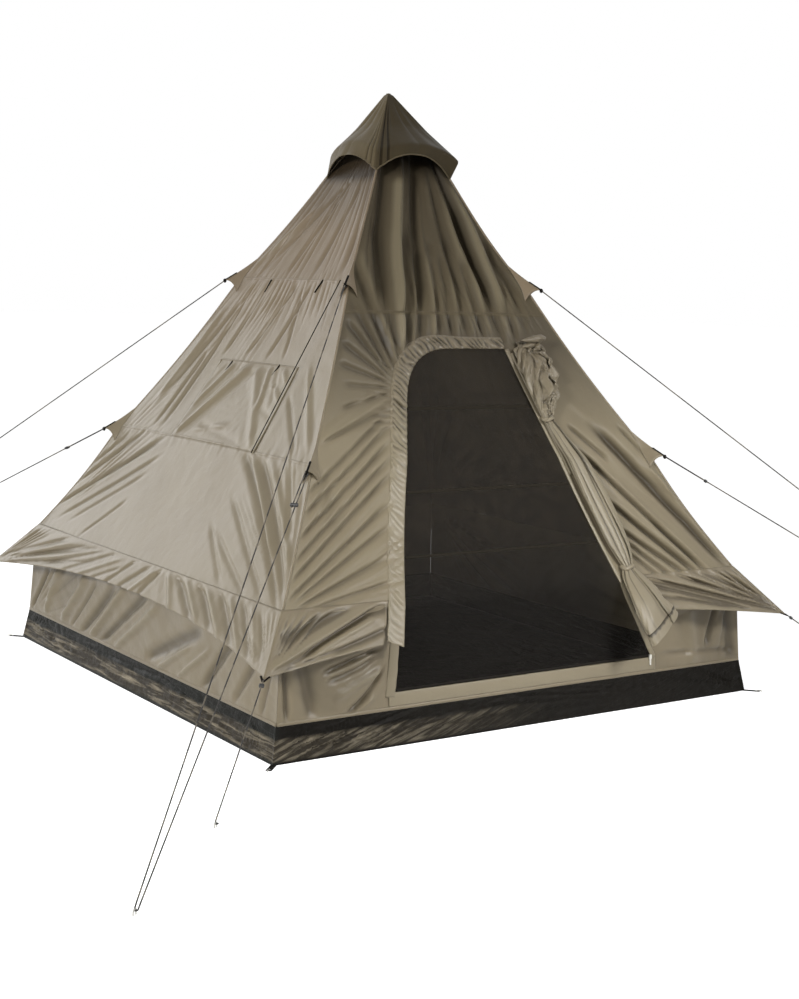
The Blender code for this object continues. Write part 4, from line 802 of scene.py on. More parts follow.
# Twisted cord: dark, with pale flecks where its strands turn up, drawn wide apart so that they show
cordLook = {"strands": ((0.62, "#1d1a16"), (0.86, "#5f584c")), "fleckMillimetres": 116.1}


def cordMaterial(name, look):
    material, tree, shader = newMaterial(name, {"Roughness": 0.65})
    where = addNode(tree, "ShaderNodeTexCoord").outputs["Object"]
    # at scale 1 a diagonal wave turns by 10 radians for each metre in x, y and z
    scale = 2 * math.pi / (10 * math.sqrt(3)) * 1000 / look["fleckMillimetres"]
    settings = {"Scale": scale, "Distortion": 1.5, "bands_direction": "DIAGONAL"}
    fleck = addNode(tree, "ShaderNodeTexWave", settings, {"Vector": where})
    ramp = addNode(tree, "ShaderNodeValToRGB", {}, {0: fleck.outputs[0]})
    for stop, (position, code) in zip(ramp.color_ramp.elements, look["strands"]):
        stop.position = position
        stop.color = linear(code)
    tree.links.new(ramp.outputs[0], shader.inputs["Base Color"])
    bumpChain(tree, shader, [(fleck.outputs[0], 0.5, 0.0015)])
    return material


# Small hard and woven things: webbing, plastic, steel, rubber, zip tape
smallLooks = {
    "nylonNetTape": {"colour": "#25211a", "roughness": 0.85, "shine": 0.1, "grain": 2, "depth": 0.0004},
    "wovenNylonWebbing": {"colour": "#151310", "roughness": 0.85, "shine": 0.08, "grain": 2, "depth": 0.0006},
    "mouldedNylonRunner": {"colour": "#1d1d1c", "roughness": 0.42, "grain": 3, "depth": 0.0001},
    "galvanisedSteel": {"colour": "#b4b3ad", "roughness": 0.36, "grain": 9, "depth": 0.0001, "metal": 1.0},
    "mouldedRubber": {"colour": "#22211f", "roughness": 0.85, "shine": 0.2, "grain": 2, "depth": 0.0002},
    "zipTape": {"colour": "#1d1a16", "roughness": 0.8, "shine": 0.1, "grain": 2.5, "depth": 0.0005},
    "castZincSlider": {"colour": "#d6d3ca", "roughness": 0.34, "grain": 4.0, "depth": 0.0001, "metal": 0.6},
}


def smallMaterial(name, look):
    settings = {
        "Roughness": look["roughness"],
        "Metallic": look.get("metal", 0.0),
        "Specular IOR Level": look.get("shine", 0.5),
    }
    material, tree, shader = newMaterial(name, settings)
    where = addNode(tree, "ShaderNodeTexCoord").outputs["Object"]
    settings = {"Scale": 1000 / look["grain"], "Detail": 2.0}
    grain = addNode(tree, "ShaderNodeTexNoise", settings, {"Vector": where})
    settings = {"data_type": "RGBA"}
    for key, share in ((6, 0.8), (7, 1.2)):  # the grain is a fifth darker and lighter than the colour
        settings[key] = (*(part * share for part in linear(look["colour"])[:3]), 1.0)
    tint = addNode(tree, "ShaderNodeMix", settings, {0: grain.outputs[0]})
    tree.links.new(tint.outputs[2], shader.inputs["Base Color"])
    bumpChain(tree, shader, [(grain.outputs[0], 0.4, look["depth"])])
    return material


cloth = polyesterMaterial("coatedPolyester", polyester)
frontCloth = polyesterMaterial("coatedPolyesterFront", frontPolyester)
upperCloth = polyesterMaterial("coatedPolyesterUpper", upperPolyester)
capCloth = polyesterMaterial("coatedPolyesterCap", capPolyester)
bandCloth = polyesterMaterial("gatheredBindingPolyester", bandPolyester)
net = netMaterial("insectNet", netLook)
tubSheet = tubMaterial("coatedGroundsheet", tubLook)
cordFibre = cordMaterial("twistedCord", cordLook)
small = {name: smallMaterial(name, look) for name, look in smallLooks.items()}
print("materials:", len(bpy.data.materials))


# Canopy faces, with close rows of points beside each seam
seamRows = (-0.008, -0.004, 0.0, 0.004, 0.008)


def rowHeights(low, high, pitch, seams=()):
    rows = list(np.linspace(low, high, max(2, round((high - low) / pitch))))
    for seam in seams:
        rows += [seam + shift for shift in seamRows if low < seam + shift < high]
    return np.array(sorted(rows))


def declareSheet(low, high, halfAt):
    width = 2 * halfAt(low)
    length = abs(high - low) * math.hypot(1, (halfAt(low) - halfAt(high)) / (high - low))
    (halfAt(low) + halfAt(high)) * length * 0.999


def roofPiece(name, side, low, high, pitch, node, material, hole=None, lift=0.0):
    heights = rowHeights(low, high, pitch, seamHeights[side])
    columns = round(2 * roofHalf(low) / pitch)
    share = np.linspace(-1, 1, columns)
    height, share = np.meshgrid(heights, share, indexing="ij")
    across = share * (hipHalf(height) - seamGap)
    cells = None
    if hole is not None:
        across, height, cells = trimGrid(across, height, hole, keepInside=False)
    out = roofOut(side, across, height) + lift * np.exp(-np.abs(height - low) / 0.02)
    points = place(side, across, roofHalf(height) + out, height)
    # painted shade under the cap, and painted shade in the folds' valleys with painted highlight on their
    # backs
    dim = 0.0 * height
    for amount, start, full in (hang["dark"], *(hang["leftDark"] if side == "left" else ())):
        dim = dim + amount * smooth(start, full, height)
    deep = shade(roofFold(side, across, height)) * (1 - np.clip(dim, 0, 1)) + dim
    piece = gridPiece(name, points, material, thick=0, cells=cells, replaces=(node,), hollow=deep)
    if hole is None:
        declareSheet(low, high, roofHalf)


# Window on the left face, across and up as seen from outside
windowCorners = {
    "footLeft": (-0.359, 1.04), "footRight": (0.384, 1.04), "topRight": (0.367, 1.383),
    "topLeft": (-0.3, 1.383),
}
windowLap = 0.03  # how far the canopy reaches in under the window flap's edges


def windowOutline(inset):
    # counter-clockwise from the lower left, drawn in by a distance on every edge
    inwards = {"footLeft": (1, 1), "footRight": (-1, 1), "topRight": (-1, -1), "topLeft": (1, -1)}
    return np.array([np.array(windowCorners[name]) + inset * np.array(way) for name, way in inwards.items()])


canopy = {"finePitch": 0.006, "leftPitch": 0.0076, "plainPitch": 0.014, "lap": 0.01, "lapLift": 0.0012}


def makeCanopy():
    low, high = eaveHeight, crownHeight
    fine, plain = canopy["finePitch"], canopy["plainPitch"]
    above, lift = frontSeam - canopy["lap"], canopy["lapLift"]
    roofPiece("canopyFrontUpper", "front", above, high, fine, "roof_front_upper", upperCloth, lift=lift)
    entrance, opening = doorOutline(), windowOutline(windowLap)
    roofPiece("canopyFrontLower", "front", low, frontSeam, fine, "roof_front_lower", frontCloth, entrance)
    roofPiece("canopyLeft", "left", low, high, canopy["leftPitch"], "roof_left", cloth, opening)
    roofPiece("canopyRight", "right", low, high, plain, "roof_right", cloth)
    roofPiece("canopyBack", "back", low, high, plain, "roof_back", cloth)


def makeWalls():
    low, high = rimHeight - 0.001, eaveHeight + 0.002
    for side in sides:
        pitch = wall["pitch"][side]
        heights = rowHeights(low, high, pitch)
        share = np.linspace(-1, 1, round(2 * rimHalf / pitch))
        height, share = np.meshgrid(heights, share, indexing="ij")
        across = share * (wallHalf(height) - seamGap)
        cells = None
        if side == "front":
            outline = doorOutline()[[0, 1, -2, -1]]
            outline[1:3, 1] += 0.05  # past the wall's top, so that the doorway cuts it through
            across, height, cells = trimGrid(across, height, outline, keepInside=False)
        points = place(side, across, wallHalf(height) + wallOut(side, across, height), height)
        # painted shade in the folds' valleys and painted highlight on their backs; the front wall right of
        # the doorway gets more painted shade
        deep = shade(wallOut(side, across, height, foldsOnly=True), 0.001, 0.014)
        if side == "front":
            deep = deep + 0.24 * smooth(0.6, 0.72, across)
        name = "wall" + side.capitalize()
        piece = gridPiece(name, points, cloth, thick=0, cells=cells, replaces=(f"wall_{side}",), hollow=deep)


makeCanopy()
makeWalls()
print("canopy and walls done")


# Skirt round the eave: it flares from the seam to a drawn-out tip at each corner
skirt = {
    "top": eaveHeight + 0.022,
    "tipHeight": 0.356, "middleHeight": 0.437, "tipFlare": 0.053, "middleFlare": 0.007,
    "lift": seamGap + clothSolid,
    "partingRight": 0.61, "pitch": 0.0075,
    "foldStep": 0.085,  # radians between the folds that fan out from a tip
    "foldHeight": 0.026,
    "strength": {"left": 0.54},  # of its folds, where it isn't 1
    "shadow": {"front": (0.006, 0.14)},  # painted shade: how deep a fold is darkest, and painted shade all over the front skirts
    "plainShadow": (0.026, 0),
    "fullness": 1.45,
}


def skirtShape(down, share):
    hem = skirt["middleHeight"] + (skirt["tipHeight"] - skirt["middleHeight"]) * share**2
    height = skirt["top"] + (hem - skirt["top"]) * down
    flare = skirt["middleFlare"] + (skirt["tipFlare"] - skirt["middleFlare"]) * np.abs(share) ** 3
    return roofHalf(height) + skirt["lift"] + flare * down, height


skirtPull = {"front": (0.16, 0.62), "left": (0.6, 0.12), "right": (0.5, 0.5), "back": (0.55, 0.45)}
skirtCreases = {
    "front": [
        (-1.25, 0.39, -0.7, 0.565, 0.012, 0.022, 0.022), (-1.1, 0.415, -0.69, 0.545, 0.01, 0.022, -0.022),
        (-1.18, 0.46, -0.86, 0.54, 0.026, 0.022, -0.014), (-1.06, 0.42, -0.75, 0.51, 0.012, 0.014, 0.014),
        (-0.99, 0.4, -0.72, 0.46, 0.01, 0.012, -0.01), (-0.96, 0.56, -0.82, 0.52, 0.008, 0.008, -0.005),
        (-0.9, 0.56, -0.78, 0.53, 0.008, 0.008, -0.005), (0.6, 0.52, 1.1, 0.395, 0.012, 0.009, -0.018),
        (0.6, 0.545, 1.27, 0.375, 0.011, 0.009, -0.018), (0.8, 0.54, 1.27, 0.39, 0.011, 0.008, -0.016),
        (0.9, 0.56, 1.26, 0.4, 0.01, 0.008, -0.014), (1.00, 0.56, 1.26, 0.41, 0.01, 0.008, -0.012),
        (0.74, 0.46, 1.02, 0.4, 0.009, 0.008, -0.01),
    ],
    "left": [
        (-1.26, 0.385, -0.37, 0.555, 0.01, 0.012, -0.014), (-1.26, 0.395, -0.76, 0.54, 0.009, 0.011, -0.012),
        (-1.2, 0.4, -0.62, 0.55, 0.012, 0.012, 0.009), (-0.84, 0.42, -0.36, 0.54, 0.01, 0.011, -0.012),
        (-0.66, 0.41, -0.22, 0.56, 0.012, 0.012, -0.012), (-0.52, 0.42, -0.18, 0.54, 0.01, 0.012, 0.01),
        (-0.38, 0.42, -0.16, 0.5, 0.01, 0.01, -0.01), (-0.24, 0.42, -0.04, 0.56, 0.012, 0.012, -0.014),
        (-0.1, 0.43, 0.1, 0.56, 0.014, 0.012, -0.015), (0.00, 0.43, 0.13, 0.53, 0.012, 0.012, 0.013),
        (0.09, 0.43, 0.19, 0.57, 0.018, 0.014, -0.018), (0.22, 0.57, 0.4, 0.43, 0.014, 0.018, 0.016),
        (0.29, 0.56, 0.58, 0.42, 0.014, 0.018, -0.02), (0.38, 0.56, 0.66, 0.42, 0.013, 0.016, 0.018),
        (0.48, 0.56, 0.76, 0.42, 0.014, 0.017, -0.02), (0.57, 0.55, 0.86, 0.41, 0.013, 0.016, 0.018),
        (0.67, 0.55, 0.96, 0.4, 0.014, 0.016, -0.019), (0.76, 0.55, 1.05, 0.39, 0.013, 0.013, 0.016),
        (0.85, 0.55, 1.12, 0.39, 0.013, 0.012, -0.017), (0.93, 0.55, 1.18, 0.39, 0.011, 0.01, 0.012),
        (1.00, 0.55, 1.21, 0.4, 0.011, 0.009, -0.012),
    ],
}


def skirtFolds(side, across, height, down, share, reach):
    seed = 17 * sides.index(side) + 300
    out = creaseOut(across, height, skirtCreases.get(side, ()))
    for end, fading in zip((-1, 1), skirtPull[side]):
        # narrow folds that fan out from the tip, up to where they fade
        dx = reach - across * end
        dz = height - skirt["tipHeight"]
        radius = np.hypot(dx, dz)
        phase = np.arctan2(dz, dx) / skirt["foldStep"]
        phase = phase + 0.5 * noise(phase * 0.6, 0.5, seed + end)
        back = np.abs(np.sin(math.pi * phase)) ** 0.65 - 0.66
        strength = np.clip(0.85 + 0.9 * noise(phase * 0.7, 0.5, seed + end + 9), 0.2, 1.5)
        grow = np.minimum(radius * 0.11, skirt["foldHeight"])
        within = (1 - smooth(fading, fading + 0.35, radius)) * smooth(0.0, 0.05, radius)
        out = out + back * strength * grow * within
    slant = across + 0.9 * height
    loose = crumple(slant * 1.1, height * 0.6, 0.085, seed + 4) * 0.016 * (1 - np.abs(share) ** 2)
    out = out + loose * (1.0 if side in ("right", "back") else 0.5)
    held = smooth(0, 0.28, down) * (1 - smooth(0.965, 1.0, np.abs(share)))
    puckers = pucker["height"] * 0.8 * noise(across / pucker["pitch"], 1.5, seed + 6) * np.exp(-down / 0.14)
    return out * held + puckers * (1 - smooth(0.96, 1.0, np.abs(share)))


def bandEdge(height):
    # the left side of the doorway's binding, where the front left skirt ends
    edge = doorway["eaveLeft"] + doorLean * (height - eaveHeight)
    return edge - doorway["bandWidth"] * math.hypot(1, doorLean)


def skirtPiece(name, side, node, left=None, right=None):
    down = np.linspace(0, 1, 30)
    cornerDepth, cornerHeight = skirtShape(down, 1.0)
    reach = cornerDepth - seamGap
    first = -reach if left is None else left(cornerHeight)
    last = reach if right is None else right(cornerHeight)
    first, last = np.broadcast_to(first, reach.shape), np.broadcast_to(last, reach.shape)
    columns = round(float(np.max(last - first)) / skirt["pitch"])
    step = np.linspace(0, 1, columns)
    across = first[:, None] + (last - first)[:, None] * step[None, :]
    share = across / reach[:, None]
    downs = np.broadcast_to(down[:, None], across.shape)
    depth, height = skirtShape(downs, share)
    folds = skirtFolds(side, across, height, downs, share, reach[-1])
    folds = folds * skirt["strength"].get(side, 1.0)
    onRoof = np.exp(-downs / 0.12)
    depth = depth + folds + onRoof * (roofOut(side, across, height) + 0.001)
    points = place(side, across, depth, height)[::-1]
    # painted shade in the folds' valleys and painted highlight on their backs, plus painted shade all over
    # the front skirts
    full, everywhere = skirt["shadow"].get(side, skirt["plainShadow"])
    deep = shade(folds, 0.0003, full) + everywhere
    piece = gridPiece(name, points, cloth, thick=0.001, replaces=(node,), hollow=deep[::-1])


def makeSkirts():
    skirtPiece("skirtFrontLeft", "front", "skirt_front_left", right=bandEdge)
    skirtPiece("skirtFrontRight", "front", "skirt_front_right", left=lambda height: skirt["partingRight"])
    for side in sides[1:]:
        skirtPiece("skirt" + side.capitalize(), side, f"skirt_{side}")


makeSkirts()
print("skirts done")


# Hip seams and the beak-shaped flaps that the guy lines pull on
hip = {
    "top": 2.515, "rows": 190,
    "wing": (0.0075, 0.023),  # half the strip's width, below the cap and under it
    "ridgeLift": 0.0026,
    "wingLifts": ((1.0, 0.0003), (0.45, 0.002)),  # share of the width, and how far it stands up
}
beak = {
    "heights": (1.726, 1.022), "rise": 0.1, "drop": 0.052, "out": 0.054,
    "root": 0.003,  # its ridge starts this far outside the hip
    "sag": 0.006,  # how far the ridge and the wings curve in
    "hollow": 0.014, "wing": 0.05, "steps": 14,
}
diagonal = math.sqrt(2)


def sidesOf(corner):
    # the side on the left and on the right of a hip, as seen from outside
    index = corners.index(corner)
    return sides[index], sides[(index + 1) % 4]


def nearHip(corner, hand, inset, height, lift):
    # point near a hip on the face on one hand: 0 is the face whose right edge it is, 1 the other
    side = sidesOf(corner)[hand]
    across = hipHalf(height) - inset
    across = across if hand == 0 else -across
    depth = roofHalf(height) + roofOut(side, across, height) + lift
    return Vector(place(side, across, depth, height))


def makeHip(corner):
    heights = np.linspace(skirt["top"] + 0.002, hip["top"], hip["rows"])
    narrow, wide = hip["wing"]
    wings = narrow + (wide - narrow) * smooth(crownHeight - 0.12, crownHeight - 0.02, heights)
    rows = []
    for height, wing in zip(heights, wings):
        wing = min(wing, roofHalf(height) * 0.9)
        left, right = (
            [nearHip(corner, hand, wing * share, height, lift) for share, lift in hip["wingLifts"]]
            for hand in (0, 1)
        )
        ridge = overCorner(corner, (float(hipHalf(height)) + hip["ridgeLift"]) * diagonal, height)
        rows.append([tuple(point) for point in (*left, ridge, *right[::-1])])
    gridPiece(f"hipSeam_{corner}", np.array(rows), cloth, thick=0.0009, replaces=(f"hip_{corner}",))


def beakRidge(corner, tipHeight):
    # where a beak's ridge leaves the hip, its tip, and how far out over the corner the tip lies
    top = tipHeight + beak["rise"]
    tipOut = (roofHalf(tipHeight + 0.02) + seamGap + beak["out"] + clothSolid) * diagonal
    root = overCorner(corner, (float(hipHalf(top)) + beak["root"]) * diagonal, top)
    return root, overCorner(corner, tipOut, tipHeight), tipOut


def makeBeak(corner, tipHeight, number):
    # two curved wings that meet in a ridge; their free hem is hollow
    top, foot = tipHeight + beak["rise"], tipHeight - beak["drop"]
    root, tip, _ = beakRidge(corner, tipHeight)
    shares = np.linspace(0, 1, beak["steps"] + 1)
    rows = []
    for down in shares:
        height = top + (foot - top) * down
        ridge = root.lerp(tip, down) + overCorner(corner, -beak["sag"] * math.sin(math.pi * down), 0)
        wings = []
        for hand in (0, 1):
            seat = nearHip(corner, hand, 0.004 + beak["wing"] * down**1.3, height, 0.0016)
            wing = []
            for share in shares:
                arch = 4 * share * (1 - share)
                point = seat.lerp(ridge, share) + overCorner(corner, -arch * beak["sag"] * down, 0)
                point.z += arch * down**4 * beak["hollow"]
                wing.append(tuple(point))
            wings.append(wing)
        rows.append(wings[0] + wings[1][-2::-1])
    gridPiece(f"beak{number}_{corner}", np.array(rows)[::-1], cloth, thick=0.001)


def makeHips():
    for corner in corners:
        makeHip(corner)
        for number, tipHeight in enumerate(beak["heights"], 1):
            makeBeak(corner, tipHeight, number)


makeHips()
print("hips done")


# Vent cap: a flatter pyramid over the crown. Its hips run straight and then hang down to a drawn-in tip,
# and its hem arches between the four tips. It sits a little askew, as in the photograph
cap = {
    "bends": ((0.316, 0.276), (0.262, 0.255), (0.262, 0.255), (0.262, 0.262)),  # out and down, hip by hip
    "tips": ((0.274, 0.358), (0.285, 0.345), (0.284, 0.366), (0.292, 0.34)),
    "shift": (0.02, -0.0136, 0), "arch": 0.086, "bulge": 0.03, "hollow": 0.01, "columns": 72,
    "rows": 30, "pleat": 0.0045, "unevenness": 0.004, "binding": 0.003,
    "point": ((-0.01, 0.012), (0.0, 0.01), (0.002, 0.003)),  # height over the apex and radius
    # painted shade all over the front and right sides
    "dim": {"front": 0.72, "right": 0.25},
    "gathers": {"left": (0.7, 0.84, 0.96), "front": (-0.9, -0.74)},  # tucks beside the front left hip
}


def capHip(index, down):
    # point of a hip from the apex (0) to its tip (1), as distances out and down; its bends are rounded
    bend, tip = cap["bends"][index], cap["tips"][index]
    path = np.array(((0.0, -0.014), (0.018, -0.006), (bend[0] * 0.55, bend[1] * 0.55), bend, tip))
    share = np.array((0.0, 0.04, 0.4, 0.74, 1.0))
    rounding = (-0.02, 0, 0.02) if 0.05 < down < 0.95 else (0,)
    near = [[np.interp(down + shift, share, path[:, axis]) for shift in rounding] for axis in (0, 1)]
    return [sum(values) / len(values) for values in near]


def capSide(index, side, down):
    # one row of one side, from hip to hip, and its painted shade: in the tucks and on the front and right
    # sides
    share = -1 + 2 * np.arange(cap["columns"]) / cap["columns"]
    mix = (share[:, None] + 1) / 2
    rounded = 1 - np.abs(share) ** 2.2
    ends = []
    for number in ((index + 3) % 4, index):
        out, drop = capHip(number, down)
        ends.append(np.array(overCorner(corners[number], out, -drop))[None, :])
    soft = float(smooth(0.04, 0.3, np.array(down)))
    pleats = 0.8 * (np.abs(np.sin(share * 5.5 + index)) ** 0.8 - 0.55) * (1 - share**4)
    gathers = 0 * share
    for at in cap["gathers"].get(side, ()):
        narrow, wide = (np.exp(-(((share - at) / size) ** 2)) for size in (0.03, 0.075))
        gathers = gathers - 1.6 * narrow + 0.6 * wide
    push = cap["bulge"] * rounded * down**2 - cap["hollow"] * rounded * math.sin(math.pi * down)
    push = push + cap["pleat"] * (pleats + gathers) * soft
    push = push + cap["unevenness"] * noise(share * 3.0, down * 3.0, 410 + index) * soft * (1 - share**4)
    points = ends[0] * (1 - mix) + ends[1] * mix + np.outer(push, place(side, 0.0, 1.0, 0.0))
    points[:, 2] += cap["arch"] * rounded * down**1.6 + capTop
    points += np.array(cap["shift"]) * (0.45 + 0.55 * down)
    return points, np.clip(-gathers * soft - 0.15, 0, 1) + cap["dim"].get(side, 0)


def makeCap():
    rows, hollows = [], []
    for down in 0.015 + 0.985 * np.arange(cap["rows"] + 1) / cap["rows"]:
        row, deep = zip(*(capSide(index, side, down) for index, side in enumerate(sides)))
        rows.append(np.concatenate(row))
        hollows.append(np.concatenate(deep))
    points, deep = np.array(rows)[::-1], np.array(hollows)[::-1]
    settings = {"closed": True, "replaces": ("vent_cap",), "hollow": deep}
    piece = gridPiece("ventCap", points, capCloth, thick=0.0016, **settings)
    tubePiece("ventCapBinding", points[0], cap["binding"], capCloth, closed=True)
    middle = points[-1].mean(axis=0)
    top = np.array([middle + np.array((0, 0, rise)) for rise, _ in cap["point"]])
    tubePiece("ventCapPoint", top, [radius for _, radius in cap["point"]], capCloth, segments=16)


def tubePiece(name, path, radius, material, closed=False, segments=8, flatness=1.0, **settings):
    # round or flattened rod along a path, with closed ends
    path = np.array([tuple(point) for point in path])
    count = len(path)
    if closed:
        along = np.roll(path, -1, axis=0) - np.roll(path, 1, axis=0)
    else:
        along = np.gradient(path, axis=0)
    along /= np.maximum(np.linalg.norm(along, axis=1, keepdims=True), 1e-9)
    normal = np.array((0.0, 0.0, 1.0)) if abs(along[0][2]) < 0.9 else np.array((1.0, 0.0, 0.0))
    radii = np.broadcast_to(np.asarray(radius, float), (count,))
    points = []
    for spot, ahead, reach in zip(path, along, radii):
        normal = normal - ahead * np.dot(normal, ahead)
        normal /= np.linalg.norm(normal)
        other = np.cross(ahead, normal)
        for step in range(segments):
            angle = 2 * math.pi * step / segments
            points.append(spot + reach * (math.cos(angle) * normal * flatness + math.sin(angle) * other))
    faces = []
    for index in range(count if closed else count - 1):
        low, high = index * segments, (index + 1) % count * segments
        for step in range(segments):
            beside = (step + 1) % segments
            faces.append((low + step, low + beside, high + beside, high + step))
    if not closed:
        faces.append(tuple(range(segments - 1, -1, -1)))
        faces.append(tuple((count - 1) * segments + step for step in range(segments)))
    return newPiece(name, points, faces, material, **settings)


makeCap()
print("cap done")


# Groundsheet tub: a floor, four turned-up sides and a webbing loop at each corner
tub = {
    "floorHalf": 1.2, "sheet": 0.0022, "thick": 0.0012,
    "crumple": ((0.16, 0.045, 0.011), (0.6, 0.04, 0.004)),  # how drawn out it is, size and height
    "rows": 23, "columns": 420, "floorPoints": 130, "floorFolds": 0.01,
    "poleClear": (0.03, 0.07),  # the floor is flat under the pole's foot
}
tubFolds = {
    "front": [
        ((-1.2, 0.0), 0.034, (0.03, 0.1, 1.2, 2.0), (0, 60), 0.011, 501, 0.8, 0.9),
        ((1.2, 0.02), 0.03, (0.03, 0.1, 1.2, 2.0), (140, 181), 0.01, 503, 0.8, 0.9),
    ],
    "left": [
        ((1.2, 0.0), 0.034, (0.03, 0.12, 1.0, 1.6), (140, 181), 0.011, 505, 0.8, 0.9),
        ((-1.2, 0.08), 0.03, (0.03, 0.12, 1.0, 1.6), (-10, 30), 0.009, 506, 0.8, 0.9),
    ],
    "right": [((-1.2, 0.0), 0.04, (0.03, 0.12, 0.8, 1.4), (0, 60), 0.011, 507, 0.8, 0.9)],
    "back": [((1.2, 0.0), 0.04, (0.03, 0.12, 0.8, 1.4), (120, 181), 0.011, 509, 0.8, 0.9)],
}


def makeTubSides():
    rows = []
    for up in np.linspace(0, 1, tub["rows"]):
        ring = []
        for index, side in enumerate(sides):
            share = -1 + 2 * np.arange(tub["columns"]) / tub["columns"]
            half = tub["floorHalf"] + (rimHalf - tub["floorHalf"]) * up
            across, height = share * half, tubTop * up
            folds = fanOut(across, np.full_like(across, height), tubFolds[side])
            for number, (drawn, size, tall) in enumerate(tub["crumple"]):
                folds = folds + tall * crumple(across * drawn, height, size, 520 + index + 7 * number)
            held = math.sin(math.pi * min(1.0, up * 0.96)) ** 0.6 * (1 - smooth(0.985, 1.0, np.abs(share)))
            ring.append(place(side, across, half + (folds - 0.003) * held + 0.0006, height))
        rows.append(np.concatenate(ring))
    settings = {"closed": True, "slot": "dark_groundsheet", "replaces": ("groundsheet_tub",)}
    gridPiece("groundsheetSides", np.array(rows), tubSheet, thick=tub["thick"], **settings)


def makeTubFloor():
    edge = tub["floorHalf"] - 0.001
    grid = np.linspace(-edge, edge, tub["floorPoints"])
    x, y = np.meshgrid(grid, grid, indexing="xy")
    inside = smooth(0, 0.05, tub["floorHalf"] - np.maximum(np.abs(x), np.abs(y)))
    poleFoot = 1 - smooth(*tub["poleClear"], np.hypot(x, y))
    folds = tub["floorFolds"] * np.maximum(crumple(x, y, 0.22, 530), -0.2) + 0.002
    points = np.stack((x, y, tub["sheet"] + folds * inside * (1 - poleFoot)), axis=-1)
    floor = gridPiece("groundsheetFloor", points, tubSheet, thick=tub["thick"], slot="dark_groundsheet")


# Flat webbing with an eyelet hole, sewn under each of the tub's corners
pegLoop = {
    "length": 0.066, "sewnIn": 0.015, "halfWidth": 0.011, "holeOut": 0.052, "holeRadius": 0.0062,
    "heights": (0.0003, 0.002), "steps": 32,
}


def makePegLoop(corner):
    centre = tub["floorHalf"] * diagonal + pegLoop["holeOut"]
    outer, inner = pegLoop["length"] - pegLoop["holeOut"], pegLoop["sewnIn"] + pegLoop["holeOut"]
    steps = pegLoop["steps"]
    points = []
    for height in pegLoop["heights"]:
        for atHole in (True, False):
            for step in range(steps):
                angle = 2 * math.pi * step / steps
                cosine, sine = math.cos(angle), math.sin(angle)
                reach = pegLoop["holeRadius"]
                if not atHole:
                    end = outer if cosine > 0 else inner
                    reach = min(pegLoop["halfWidth"] / max(abs(sine), 1e-6), end / max(abs(cosine), 1e-6))
                points.append(overCorner(corner, centre + reach * cosine, height, reach * sine))
    faces = []
    lowIn, lowOut, highIn, highOut = (ring * steps for ring in range(4))
    for step in range(steps):
        beside = (step + 1) % steps
        faces.append((lowIn + step, lowIn + beside, lowOut + beside, lowOut + step))
        faces.append((highIn + step, highOut + step, highOut + beside, highIn + beside))
        faces.append((lowOut + step, lowOut + beside, highOut + beside, highOut + step))
        faces.append((lowIn + step, highIn + step, highIn + beside, lowIn + beside))
    settings = {"slot": "dark_groundsheet", "rounded": False}
    newPiece(f"pegLoop_{corner}", points, faces, small["wovenNylonWebbing"], **settings)


makeTubSides()
makeTubFloor()
for corner in corners:
    makePegLoop(corner)
print("tub done")


# Seams: a narrow felled strip with a rounded back, laid on the cloth
stripProfile = ((-1, 0.15), (-0.8, 0.85), (0, 1.0), (0.8, 0.85), (1, 0.15))  # sideways and up, as shares


def resample(path, step):
    # points an even step apart along a path, and how far along it each one lies
    path = np.asarray(path, float)
    lengths = np.concatenate(([0], np.cumsum(np.linalg.norm(np.diff(path, axis=0), axis=1))))
    along = np.linspace(0, lengths[-1], max(3, round(lengths[-1] / step)))
    return np.stack([np.interp(along, lengths, path[:, axis]) for axis in (0, 1)], axis=1), along


def leftNormals(path):
    run = np.gradient(path, axis=0)
    run /= np.linalg.norm(run, axis=1, keepdims=True)
    return np.stack((-run[:, 1], run[:, 0]), axis=1)


def surfaceDepth(surface, side, across, height):
    if surface == "net":
        return netDepth(across, height)
    if surface == "wall":
        return wallHalf(height) + wallOut(side, across, height)
    return roofHalf(height) + roofOut(side, across, height)


def strip(name, side, path, width, lift, material=None, step=0.008, surface="roof", **settings):
    line, along = resample(path, step)
    normals = leftNormals(line)
    rows = []
    for share, raised in stripProfile:
        across, height = (line + normals * share * width / 2).T
        ripple = 0.0006 * noise(along / 0.012, share, 610) * raised
        depth = surfaceDepth(surface, side, across, height)
        rows.append(place(side, across, depth + lift * raised + ripple + 0.0002, height))
    return gridPiece(name, np.array(rows), material or cloth, thick=0.0006, **settings)


def makeSeams():
    half = float(wallHalf(rimHeight)) - 0.002
    for side in sides:
        material = upperCloth if side == "front" else cloth
        for number, height in enumerate(seamHeights[side], 1):
            end = float(hipHalf(height)) - 0.004
            path = [(-end, height), (end, height)]
            strip(f"seam{number}_{side}", side, path, 0.01, 0.001, material=material)
        binding = [(-half, rimHeight + 0.004), (half, rimHeight + 0.004)]
        strip(f"rimBinding_{side}", side, binding, 0.014, 0.0022, surface="wall")


makeSeams()
print("seams done")


# Doorway: gathered binding, post and sill strips, net door with its zip, and the tied-back outer flap
band = {
    "side": doorway["bandWidth"],
    "top": 0.046, "foot": 0.392,
    "lap": 0.004,  # how far it reaches over the doorway's edge
    "puff": 0.006, "lift": 0.002, "puckerPitch": 0.025, "pucker": 0.013, "step": 0.004,
    "columns": 17,
}


